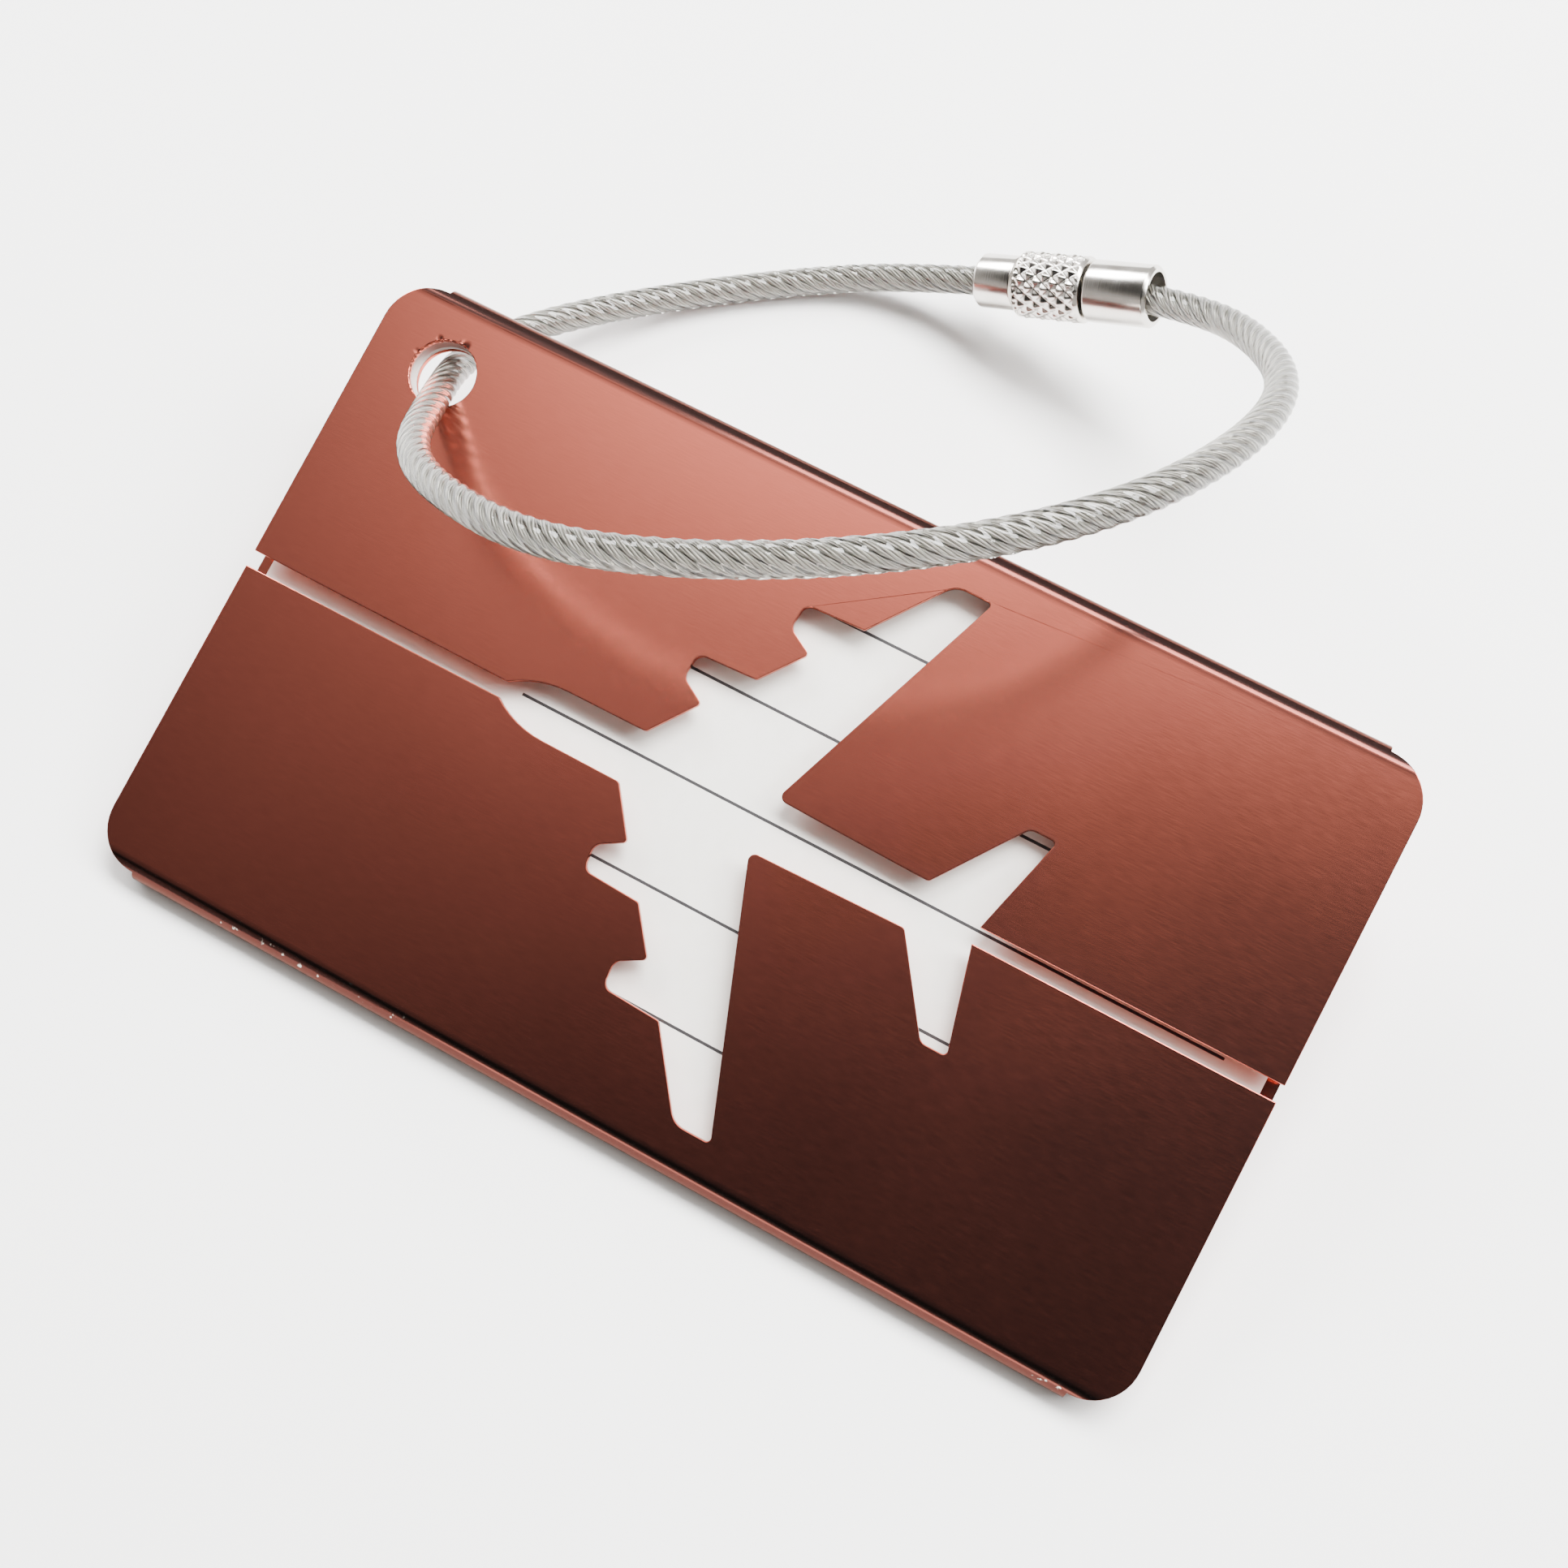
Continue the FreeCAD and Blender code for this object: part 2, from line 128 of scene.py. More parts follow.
# The studio's air is one soft light overhead, strongest beyond the tag's holed edge and fading out past
# the zenith. The gains are how fast its strength grows along and across that sky, and below the fade it
# is the same all round.
studio = {
    "floorSize": 3000, "floorColour": "#F4F4F3", "floorRoughness": 0.9,
    "air": "#FFFAF4", "airStrength": 0.7,
    "zenith": -2.82, "acrossGain": 13.5, "alongGain": -9.8, "alongBend": -13.1, "crossGain": 17.4,
    "brightest": 3.0, "dimmest": 0.02, "fadeLow": 0.50, "fadeHigh": 0.72,
    "leastUp": 0.05,
}


def makeAir():
    world = bpy.data.worlds.new("studio air")
    bpy.context.scene.world = world
    world.use_nodes = True
    tree = world.node_tree
    heading = addNode(tree, "ShaderNodeTexCoord").outputs["Generated"]
    along, across, up = (
        addNode(tree, "ShaderNodeVectorMath", {0: heading, 1: axis},
                operation="DOT_PRODUCT").outputs["Value"]
        for axis in (tagLong, tagAcross, tagNormal))
    high = addNode(tree, "ShaderNodeMath", {0: up, 1: studio["leastUp"]},
                   operation="MAXIMUM").outputs[0]
    along = addNode(tree, "ShaderNodeMath", {0: along, 1: high}, operation="DIVIDE").outputs[0]
    across = addNode(tree, "ShaderNodeMath", {0: across, 1: high}, operation="DIVIDE").outputs[0]
    rise = addNode(tree, "ShaderNodeMath", {0: along, 1: studio["alongBend"], 2: studio["alongGain"]},
                   operation="MULTIPLY_ADD").outputs[0]
    rise = addNode(tree, "ShaderNodeMath", {0: across, 1: studio["crossGain"], 2: rise},
                   operation="MULTIPLY_ADD").outputs[0]
    power = addNode(tree, "ShaderNodeMath", {0: across, 1: studio["acrossGain"], 2: studio["zenith"]},
                    operation="MULTIPLY_ADD").outputs[0]
    power = addNode(tree, "ShaderNodeMath", {0: along, 1: rise, 2: power},
                    operation="MULTIPLY_ADD").outputs[0]
    overhead = addNode(tree, "ShaderNodeMath", {0: power}, operation="EXPONENT").outputs[0]
    overhead = addNode(tree, "ShaderNodeClamp", {
        0: overhead, 1: studio["dimmest"], 2: studio["brightest"]}).outputs[0]
    fade = addNode(tree, "ShaderNodeMapRange", {
        "Value": up, 1: studio["fadeLow"], 2: studio["fadeHigh"]},
                   interpolation_type="SMOOTHSTEP").outputs[0]
    strength = addNode(tree, "ShaderNodeMix", {
        0: fade, 2: studio["airStrength"], 3: overhead}).outputs[0]
    backdrop = tree.nodes["Background"]
    backdrop.inputs["Color"].default_value = linear(studio["air"])
    tree.links.new(strength, backdrop.inputs["Strength"])


def makeStudio():
    for name, lamp in lamps.items():
        data = bpy.data.lights.new(name, "AREA")
        data.shape = "RECTANGLE"
        data.size = lamp["width"] * mm
        data.size_y = lamp["height"] * mm
        data.energy = lamp["watts"]
        data.color = linear(lamp["tint"])[:3]
        place = tagPlace @ (Vector(lamp["place"]) * mm)
        stand = link(bpy.data.objects.new(name, data))
        aim = (tagCentre - place).to_track_quat("-Z", "Y")
        stand.matrix_world = Matrix.Translation(place) @ aim.to_matrix().to_4x4()
        stand.visible_camera = False

    reach = studio["floorSize"] * mm / 2
    mesh = bpy.data.meshes.new("floor")
    mesh.from_pydata([(-reach, -reach, 0), (reach, -reach, 0), (reach, reach, 0), (-reach, reach, 0)], [],
                     [(0, 1, 2, 3)])
    floor = link(bpy.data.objects.new("floor", mesh))
    paper = bpy.data.materials.new("pale matt floor")
    paper.use_nodes = True
    shader = paper.node_tree.nodes["Principled BSDF"]
    shader.inputs["Base Color"].default_value = linear(studio["floorColour"])
    shader.inputs["Roughness"].default_value = studio["floorRoughness"]
    mesh.materials.append(paper)


def newMaterial(name, **fixed):
    material = bpy.data.materials.new(name)
    material.use_nodes = True
    tree = material.node_tree
    shader = tree.nodes["Principled BSDF"]
    for socket, value in fixed.items():
        shader.inputs[socket.replace("_", " ")].default_value = value
    return material, tree, shader


# Object coordinates turned into the tag's own axes, in metres
def tagCoordinates(tree):
    place = addNode(tree, "ShaderNodeTexCoord").outputs["Object"]
    back = tagPlace.inverted()
    return addNode(tree, "ShaderNodeMapping", {
        "Vector": place, "Location": back.translation, "Rotation": back.to_euler()}).outputs[0]


anodising = {
    "dye": "#C36655", "paleDye": "#CF705F", "foldPaintedShade": "#44241F", "edgeDye": "#E0CBC6",
    "bare": "#A9A39B",
    "metalness": 1.0, "sealWeight": 0.1, "sealRoughness": 0.5,
    "roughness": 0.14, "glossiest": -0.04, "mattest": 0.05, "cloudSize": 16.667, "cloudMatt": 0.05,
    "grainWidth": 0.12, "grainLength": 1.4, "grainDepth": 0.0015, "grainBump": 0.5,
    # painted shade: the dark fold colour is laid across the tag from foldFrom to foldTo
    "foldFrom": 22.4, "foldTo": 22.95,
    "speckSpacing": 4.0, "speckRadius": 0.10, "speckShare": 0.45,
    "scuffFrom": -29.0, "scuffTo": -14.0, "scuffAcross": -23.2, "scuffReach": 0.4,
    "tearSize": 0.4167, "tearFrom": 0.64, "tearTo": 0.70, "chipAlong": 34.6, "chipReach": 1.5,
}


# Anodised aluminium, brushed along its length and dyed copper brown: a metal sheen with a fine grain, that
# mirrors light and dark softly. The grain is drawn coarser than the real one, so that it shows.
def anodisedAluminium():
    material, tree, shader = newMaterial(
        "anodised aluminium", Metallic=anodising["metalness"], Coat_Weight=anodising["sealWeight"],
        Coat_Roughness=anodising["sealRoughness"], Specular_Tint=linear(anodising["edgeDye"]))
    place = tagCoordinates(tree)
    fineness = 1 / (anodising["grainWidth"] * mm)
    stretched = addNode(tree, "ShaderNodeMapping", {
        "Vector": place, "Scale": (1 / (anodising["grainLength"] * mm), fineness, fineness)}).outputs[0]
    grain = addNode(tree, "ShaderNodeTexNoise", {"Vector": stretched, "Scale": 1.0, "Detail": 3.0,
                                                 "Roughness": 0.6}).outputs["Fac"]
    broad = addNode(tree, "ShaderNodeTexNoise", {
        "Vector": place, "Scale": 1 / (anodising["cloudSize"] * mm), "Detail": 2.0}).outputs["Fac"]
    dye = addNode(tree, "ShaderNodeMix", {"Factor": grain, 6: linear(anodising["dye"]),
                                          7: linear(anodising["paleDye"])}, data_type="RGBA").outputs[2]
    # painted shade: the outer side of each fold, which turns away from the light, is darkened in the colour
    spot = addNode(tree, "ShaderNodeSeparateXYZ", {"Vector": place})
    outer = addNode(tree, "ShaderNodeMath", {0: spot.outputs["Y"]}, operation="ABSOLUTE").outputs[0]
    folded = addNode(tree, "ShaderNodeMapRange", {
        "Value": outer, 1: anodising["foldFrom"] * mm, 2: anodising["foldTo"] * mm}).outputs[0]
    dye = addNode(tree, "ShaderNodeMix", {"Factor": folded, 6: dye, 7: linear(anodising["foldPaintedShade"])},
                  data_type="RGBA").outputs[2]

    # dust: one speck in some of the cells
    cells = addNode(tree, "ShaderNodeTexVoronoi", {
        "Vector": place, "Scale": 1 / (anodising["speckSpacing"] * mm)})
    reach = anodising["speckRadius"] / anodising["speckSpacing"] / 2
    near = addNode(tree, "ShaderNodeMath", {0: cells.outputs["Distance"], 1: reach},
                   operation="LESS_THAN").outputs[0]
    some = addNode(tree, "ShaderNodeSeparateColor", {"Color": cells.outputs["Color"]}).outputs[0]
    chosen = addNode(tree, "ShaderNodeMath", {0: some, 1: anodising["speckShare"]},
                     operation="LESS_THAN").outputs[0]
    speck = addNode(tree, "ShaderNodeMath", {0: near, 1: chosen}, operation="MULTIPLY").outputs[0]

    # scuffs through the dye on the lower fold, and a chip by its far corner
    low = addNode(tree, "ShaderNodeMath", {
        0: spot.outputs["Y"], 1: anodising["scuffAcross"] * mm, 2: anodising["scuffReach"] * mm},
        operation="COMPARE").outputs[0]
    middle = (anodising["scuffFrom"] + anodising["scuffTo"]) / 2 * mm
    half = (anodising["scuffTo"] - anodising["scuffFrom"]) / 2 * mm
    along = addNode(tree, "ShaderNodeMath", {0: spot.outputs["X"], 1: middle, 2: half},
                    operation="COMPARE").outputs[0]
    chip = addNode(tree, "ShaderNodeMath", {
        0: spot.outputs["X"], 1: anodising["chipAlong"] * mm, 2: anodising["chipReach"] * mm},
        operation="COMPARE").outputs[0]
    zone = addNode(tree, "ShaderNodeMath", {0: along, 1: chip}, operation="MAXIMUM").outputs[0]
    torn = addNode(tree, "ShaderNodeTexNoise", {
        "Vector": place, "Scale": 1 / (anodising["tearSize"] * mm), "Detail": 3.0}).outputs["Fac"]
    sharp = addNode(tree, "ShaderNodeMapRange", {
        "Value": torn, 1: anodising["tearFrom"], 2: anodising["tearTo"]}).outputs[0]
    scuff = addNode(tree, "ShaderNodeMath", {0: low, 1: zone}, operation="MULTIPLY").outputs[0]
    scuff = addNode(tree, "ShaderNodeMath", {0: scuff, 1: sharp}, operation="MULTIPLY").outputs[0]
    worn = addNode(tree, "ShaderNodeMath", {0: scuff, 1: speck}, operation="MAXIMUM").outputs[0]
    colour = addNode(tree, "ShaderNodeMix", {"Factor": worn, 6: dye, 7: linear(anodising["bare"])},
                     data_type="RGBA").outputs[2]
    tree.links.new(colour, shader.inputs["Base Color"])

    matted = addNode(tree, "ShaderNodeMapRange", {
        "Value": grain, 3: anodising["roughness"] + anodising["glossiest"],
        4: anodising["roughness"] + anodising["mattest"]}).outputs[0]
    uneven = addNode(tree, "ShaderNodeMath", {0: broad, 1: anodising["cloudMatt"], 2: matted},
                     operation="MULTIPLY_ADD").outputs[0]
    tree.links.new(uneven, shader.inputs["Roughness"])
    bump = addNode(tree, "ShaderNodeBump", {
        "Height": grain, "Strength": anodising["grainBump"],
        "Distance": anodising["grainDepth"] * mm}).outputs[0]
    tree.links.new(bump, shader.inputs["Normal"])
    return material


# Printed rules: how far across the tag, and from where to where along it
cardPrint = {
    "paper": "#EDEBE6", "paperShade": "#E4E1DA", "ink": "#2B2A2C", "lineWidth": 0.22,
    "wander": 0.03, "wanderSize": 0.25, "fibreSize": 1.1111, "fibreDepth": 0.01, "fibreBump": 0.3,
    "gloss": 0.4, "smoothest": 0.42, "roughest": 0.6,
    "rules": [(0.4, -18.0, 36.0), (7.5, -9.0, 20.0), (15.15, -4.0, 20.0), (-7.3, -9.0, 24.0),
              (-15.0, -4.0, 20.0)],
}


# Coated card: off-white and nearly matt, with a faint fibre and thin black rules for the name and address
def coatedCard():
    material, tree, shader = newMaterial("coated card", Specular_IOR_Level=cardPrint["gloss"])
    place = tagCoordinates(tree)
    spot = addNode(tree, "ShaderNodeSeparateXYZ", {"Vector": place})
    wander = addNode(tree, "ShaderNodeTexNoise", {
        "Vector": place, "Scale": 1 / (cardPrint["wanderSize"] * mm)}).outputs["Fac"]
    across = addNode(tree, "ShaderNodeMath", {
        0: wander, 1: cardPrint["wander"] * mm, 2: spot.outputs["Y"]},
                     operation="MULTIPLY_ADD").outputs[0]
    inked = None
    for height, start, end in cardPrint["rules"]:
        line = addNode(tree, "ShaderNodeMath", {
            0: across, 1: height * mm, 2: cardPrint["lineWidth"] / 2 * mm},
            operation="COMPARE").outputs[0]
        run = addNode(tree, "ShaderNodeMath", {
            0: spot.outputs["X"], 1: (start + end) / 2 * mm, 2: (end - start) / 2 * mm},
            operation="COMPARE").outputs[0]
        rule = addNode(tree, "ShaderNodeMath", {0: line, 1: run}, operation="MULTIPLY").outputs[0]
        if inked is None:
            inked = rule
        else:
            inked = addNode(tree, "ShaderNodeMath", {0: inked, 1: rule}, operation="MAXIMUM").outputs[0]
    fibre = addNode(tree, "ShaderNodeTexNoise", {
        "Vector": place, "Scale": 1 / (cardPrint["fibreSize"] * mm), "Detail": 5.0}).outputs["Fac"]
    tone = addNode(tree, "ShaderNodeMix", {
        "Factor": fibre, 6: linear(cardPrint["paperShade"]), 7: linear(cardPrint["paper"])},
        data_type="RGBA").outputs[2]
    colour = addNode(tree, "ShaderNodeMix", {"Factor": inked, 6: tone, 7: linear(cardPrint["ink"])},
                     data_type="RGBA").outputs[2]
    tree.links.new(colour, shader.inputs["Base Color"])
    satin = addNode(tree, "ShaderNodeMapRange", {
        "Value": fibre, 3: cardPrint["smoothest"], 4: cardPrint["roughest"]}).outputs[0]
    tree.links.new(satin, shader.inputs["Roughness"])
    bump = addNode(tree, "ShaderNodeBump", {
        "Height": fibre, "Strength": cardPrint["fibreBump"],
        "Distance": cardPrint["fibreDepth"] * mm}).outputs[0]
    tree.links.new(bump, shader.inputs["Normal"])
    return material


wire = {"dull": "#8C8982", "bright": "#D6D4CF", "patchSize": 0.7143, "smoothest": 0.24, "roughest": 0.42}


# Stainless wire, drawn: a grey metal glint on each wire, duller in patches
def stainlessWire():
    material, tree, shader = newMaterial("stainless wire", Metallic=1.0)
    place = addNode(tree, "ShaderNodeTexCoord").outputs["Object"]
    patches = addNode(tree, "ShaderNodeTexNoise", {
        "Vector": place, "Scale": 1 / (wire["patchSize"] * mm), "Detail": 3.0}).outputs["Fac"]
    colour = addNode(tree, "ShaderNodeMix", {
        "Factor": patches, 6: linear(wire["dull"]), 7: linear(wire["bright"])},
        data_type="RGBA").outputs[2]
    tree.links.new(colour, shader.inputs["Base Color"])
    drawn = addNode(tree, "ShaderNodeMapRange", {
        "Value": patches, 3: wire["smoothest"], 4: wire["roughest"]}).outputs[0]
    tree.links.new(drawn, shader.inputs["Roughness"])
    return material


plastic = {"tint": "#F6F6F2", "bending": 1.45, "hazeSize": 2.0, "smoothest": 0.02, "roughest": 0.10}


# Clear PVC, extruded over the rope: a smooth gloss that magnifies the wires under it
def clearJacket():
    material, tree, shader = newMaterial(
        "clear PVC jacket", Transmission_Weight=1.0, IOR=plastic["bending"],
        Base_Color=linear(plastic["tint"]))
    place = addNode(tree, "ShaderNodeTexCoord").outputs["Object"]
    haze = addNode(tree, "ShaderNodeTexNoise", {
        "Vector": place, "Scale": 1 / (plastic["hazeSize"] * mm), "Detail": 2.0}).outputs["Fac"]
    gloss = addNode(tree, "ShaderNodeMapRange", {
        "Value": haze, 3: plastic["smoothest"], 4: plastic["roughest"]}).outputs[0]
    tree.links.new(gloss, shader.inputs["Roughness"])
    return material


nickel = {
    "shade": "#C8C2BA", "shine": "#E9E6E1", "cloudSize": 1.4286, "smoother": -0.05, "rougher": 0.08,
    "ringSize": 0.1111, "ringBump": 0.4,
    "turnedRings": 0.004, "turnedRoughness": 0.17, "knurledRings": 0.002, "knurledRoughness": 0.2,
}


# Nickel plate over turned brass: bright and slightly warm, with fine rings left by the lathe
def nickelPlate(name, ringDepth, roughness):
    material, tree, shader = newMaterial(name, Metallic=1.0)
    place = addNode(tree, "ShaderNodeTexCoord").outputs["Object"]
    along = addNode(tree, "ShaderNodeVectorMath", {0: place, 1: claspAxis},
                    operation="DOT_PRODUCT").outputs["Value"]
    rings = addNode(tree, "ShaderNodeTexNoise", {
        "W": along, "Scale": 1 / (nickel["ringSize"] * mm), "Detail": 2.0},
        noise_dimensions="1D").outputs["Fac"]
    cloud = addNode(tree, "ShaderNodeTexNoise", {
        "Vector": place, "Scale": 1 / (nickel["cloudSize"] * mm), "Detail": 3.0}).outputs["Fac"]
    colour = addNode(tree, "ShaderNodeMix", {
        "Factor": cloud, 6: linear(nickel["shade"]), 7: linear(nickel["shine"])},
        data_type="RGBA").outputs[2]
    tree.links.new(colour, shader.inputs["Base Color"])
    worn = addNode(tree, "ShaderNodeMapRange", {
        "Value": cloud, 3: roughness + nickel["smoother"], 4: roughness + nickel["rougher"]}).outputs[0]
    tree.links.new(worn, shader.inputs["Roughness"])
    bump = addNode(tree, "ShaderNodeBump", {
        "Height": rings, "Strength": nickel["ringBump"], "Distance": ringDepth * mm}).outputs[0]
    tree.links.new(bump, shader.inputs["Normal"])
    return material


# The ring's plane goes through the hole, turned and tilted in degrees. The route is in that plane:
# metres along its level line and up its slope, from the hole's centre.
ring = {"turn": 29.0, "tilt": 52.0, "claspLength": 14.4, "ropeInset": 2.4}
claspCentre = (0.0450, -0.0136)
route = [
    (0.0535, -0.0072), (0.0569, -0.0005), (0.0579, 0.0100), (0.0542, 0.0198), (0.0465, 0.0290),
    (0.0360, 0.0341), (0.0235, 0.0347), (0.0120, 0.0306), (0.0040, 0.0213), (0.0005, 0.0138),
    (0.0000, 0.0056), (0.0000, -0.0056), (0.0050, -0.0130), (0.0153, -0.0179), (0.0270, -0.0200),
    (0.0345, -0.0187),
]
cable = {
    "smoothness": 24, "steps": 760, "jacketRadius": 1.07, "jacketSides": 48, "ropeLay": 7.6, "lobes": 6,
    "lobeHeight": 0.04, "wireSteps": 470, "strandCentre": 0.61, "strandLay": 7.0,
    "wireCentre": 0.17, "wireRadius": 0.088,
    "wiresPerStrand": 6, "wireSides": 5, "coreRadius": 0.26, "coreSides": 8,
    # two places in the ring's plane, along its level line and up its slope, in metres
    "bendFrom": (0.0192, 0.0144), "bendTo": (0.0256, 0.0192),
}

turn, tilt = math.radians(ring["turn"]), math.radians(ring["tilt"])
levelLine = tagLong * math.cos(turn) + tagAcross * math.sin(turn)
slopeFoot = tagLong * math.sin(turn) - tagAcross * math.cos(turn)
slopeLine = slopeFoot * math.cos(tilt) + tagNormal * math.sin(tilt)


def inRing(along, up):
    return holeCentre + levelLine * along + slopeLine * up


claspStart = inRing(*claspCentre) - claspAxis * ring["claspLength"] * mm / 2
claspEnd = claspStart + claspAxis * ring["claspLength"] * mm


def makeRoute():
    points = [claspEnd - claspAxis * ring["ropeInset"] * mm]
    points += [inRing(*point) for point in route]
    points.append(claspStart + claspAxis * ring["ropeInset"] * mm)
    curve = bpy.data.curves.new("cable route", "CURVE")
    curve.dimensions = "3D"
    curve.resolution_u = cable["smoothness"]
    spline = curve.splines.new("NURBS")
    spline.points.add(len(points) - 1)
    for knot, point in zip(spline.points, points):
        knot.co = (*point, 1)
    spline.order_u = 3
    spline.use_endpoint_u = True
    holder = bpy.data.objects.new("cable route", curve)
    line = bpy.data.meshes.new_from_object(holder)
    bpy.data.objects.remove(holder)
    return line


def newTree(name, sizes):
    tree = bpy.data.node_groups.new(name, "GeometryNodeTree")
    tree.interface.new_socket("Geometry", in_out="INPUT", socket_type="NodeSocketGeometry")
    tree.interface.new_socket("Geometry", in_out="OUTPUT", socket_type="NodeSocketGeometry")
    for label, kind in sizes:
        tree.interface.new_socket(label, in_out="INPUT", socket_type=kind)
    given = addNode(tree, "NodeGroupInput").outputs
    return tree, given


def finishTree(tree, geometry, material):
    whole = addNode(tree, "GeometryNodeRealizeInstances", {"Geometry": geometry}).outputs[0]
    painted = addNode(tree, "GeometryNodeSetMaterial", {
        "Geometry": whole, "Material": material}).outputs[0]
    addNode(tree, "NodeGroupOutput", {"Geometry": painted})


# Runs a tree on a mesh and gives the result as a plain mesh object
def grow(name, mesh, tree, sizes, material):
    piece = link(bpy.data.objects.new(name, mesh))
    modifier = piece.modifiers.new(name, "NODES")
    modifier.node_group = tree
    labels = {item.name: item.identifier for item in tree.interface.items_tree if item.in_out == "INPUT"}
    for label, value in sizes.items():
        modifier[labels[label]] = value
    made = bpy.data.meshes.new_from_object(piece.evaluated_get(bpy.context.evaluated_depsgraph_get()))
    piece.modifiers.remove(modifier)
    piece.data = made
    made.name = name
    if not made.materials:
        made.materials.append(material)
    return piece


floatSocket, wholeSocket = "NodeSocketFloat", "NodeSocketInt"


# One jacket: a lobed section, twisted like the rope under it, swept along the route
def jacketTree():
    tree, given = newTree("extruded jacket", [
        ("Steps", wholeSocket), ("Sides", wholeSocket), ("Radius", floatSocket), ("Lay", floatSocket),
        ("Lobes", floatSocket), ("Lobe height", floatSocket)])
    line = addNode(tree, "GeometryNodeMeshToCurve", {"Mesh": given["Geometry"]}).outputs[0]
    line = addNode(tree, "GeometryNodeResampleCurve", {
        "Curve": line, "Count": given["Steps"]}).outputs[0]
    along = addNode(tree, "GeometryNodeSplineParameter").outputs["Length"]
    twist = addNode(tree, "ShaderNodeMath", {0: along, 1: given["Lay"]}, operation="DIVIDE").outputs[0]
    twist = addNode(tree, "ShaderNodeMath", {0: twist, 1: 2 * math.pi}, operation="MULTIPLY").outputs[0]
    line = addNode(tree, "GeometryNodeSetCurveTilt", {"Curve": line, "Tilt": twist}).outputs[0]
    circle = addNode(tree, "GeometryNodeCurvePrimitiveCircle", {
        "Resolution": given["Sides"], "Radius": given["Radius"]}).outputs[0]
    share = addNode(tree, "GeometryNodeSplineParameter").outputs["Factor"]
    phase = addNode(tree, "ShaderNodeMath", {0: share, 1: given["Lobes"]},
                    operation="MULTIPLY").outputs[0]
    phase = addNode(tree, "ShaderNodeMath", {0: phase, 1: 2 * math.pi}, operation="MULTIPLY").outputs[0]
    wave = addNode(tree, "ShaderNodeMath", {0: phase}, operation="COSINE").outputs[0]
    outwards = addNode(tree, "ShaderNodeVectorMath", {
        0: addNode(tree, "GeometryNodeInputPosition").outputs[0]},
                       operation="NORMALIZE").outputs[0]
    height = addNode(tree, "ShaderNodeMath", {0: wave, 1: given["Lobe height"]},
                     operation="MULTIPLY").outputs[0]
    push = addNode(tree, "ShaderNodeVectorMath", {0: outwards, "Scale": height},
                   operation="SCALE").outputs[0]
    section = addNode(tree, "GeometryNodeSetPosition", {"Geometry": circle, "Offset": push}).outputs[0]
    tube = addNode(tree, "GeometryNodeCurveToMesh", {
        "Curve": line, "Profile Curve": section, "Fill Caps": True}).outputs[0]
    return tree, tube


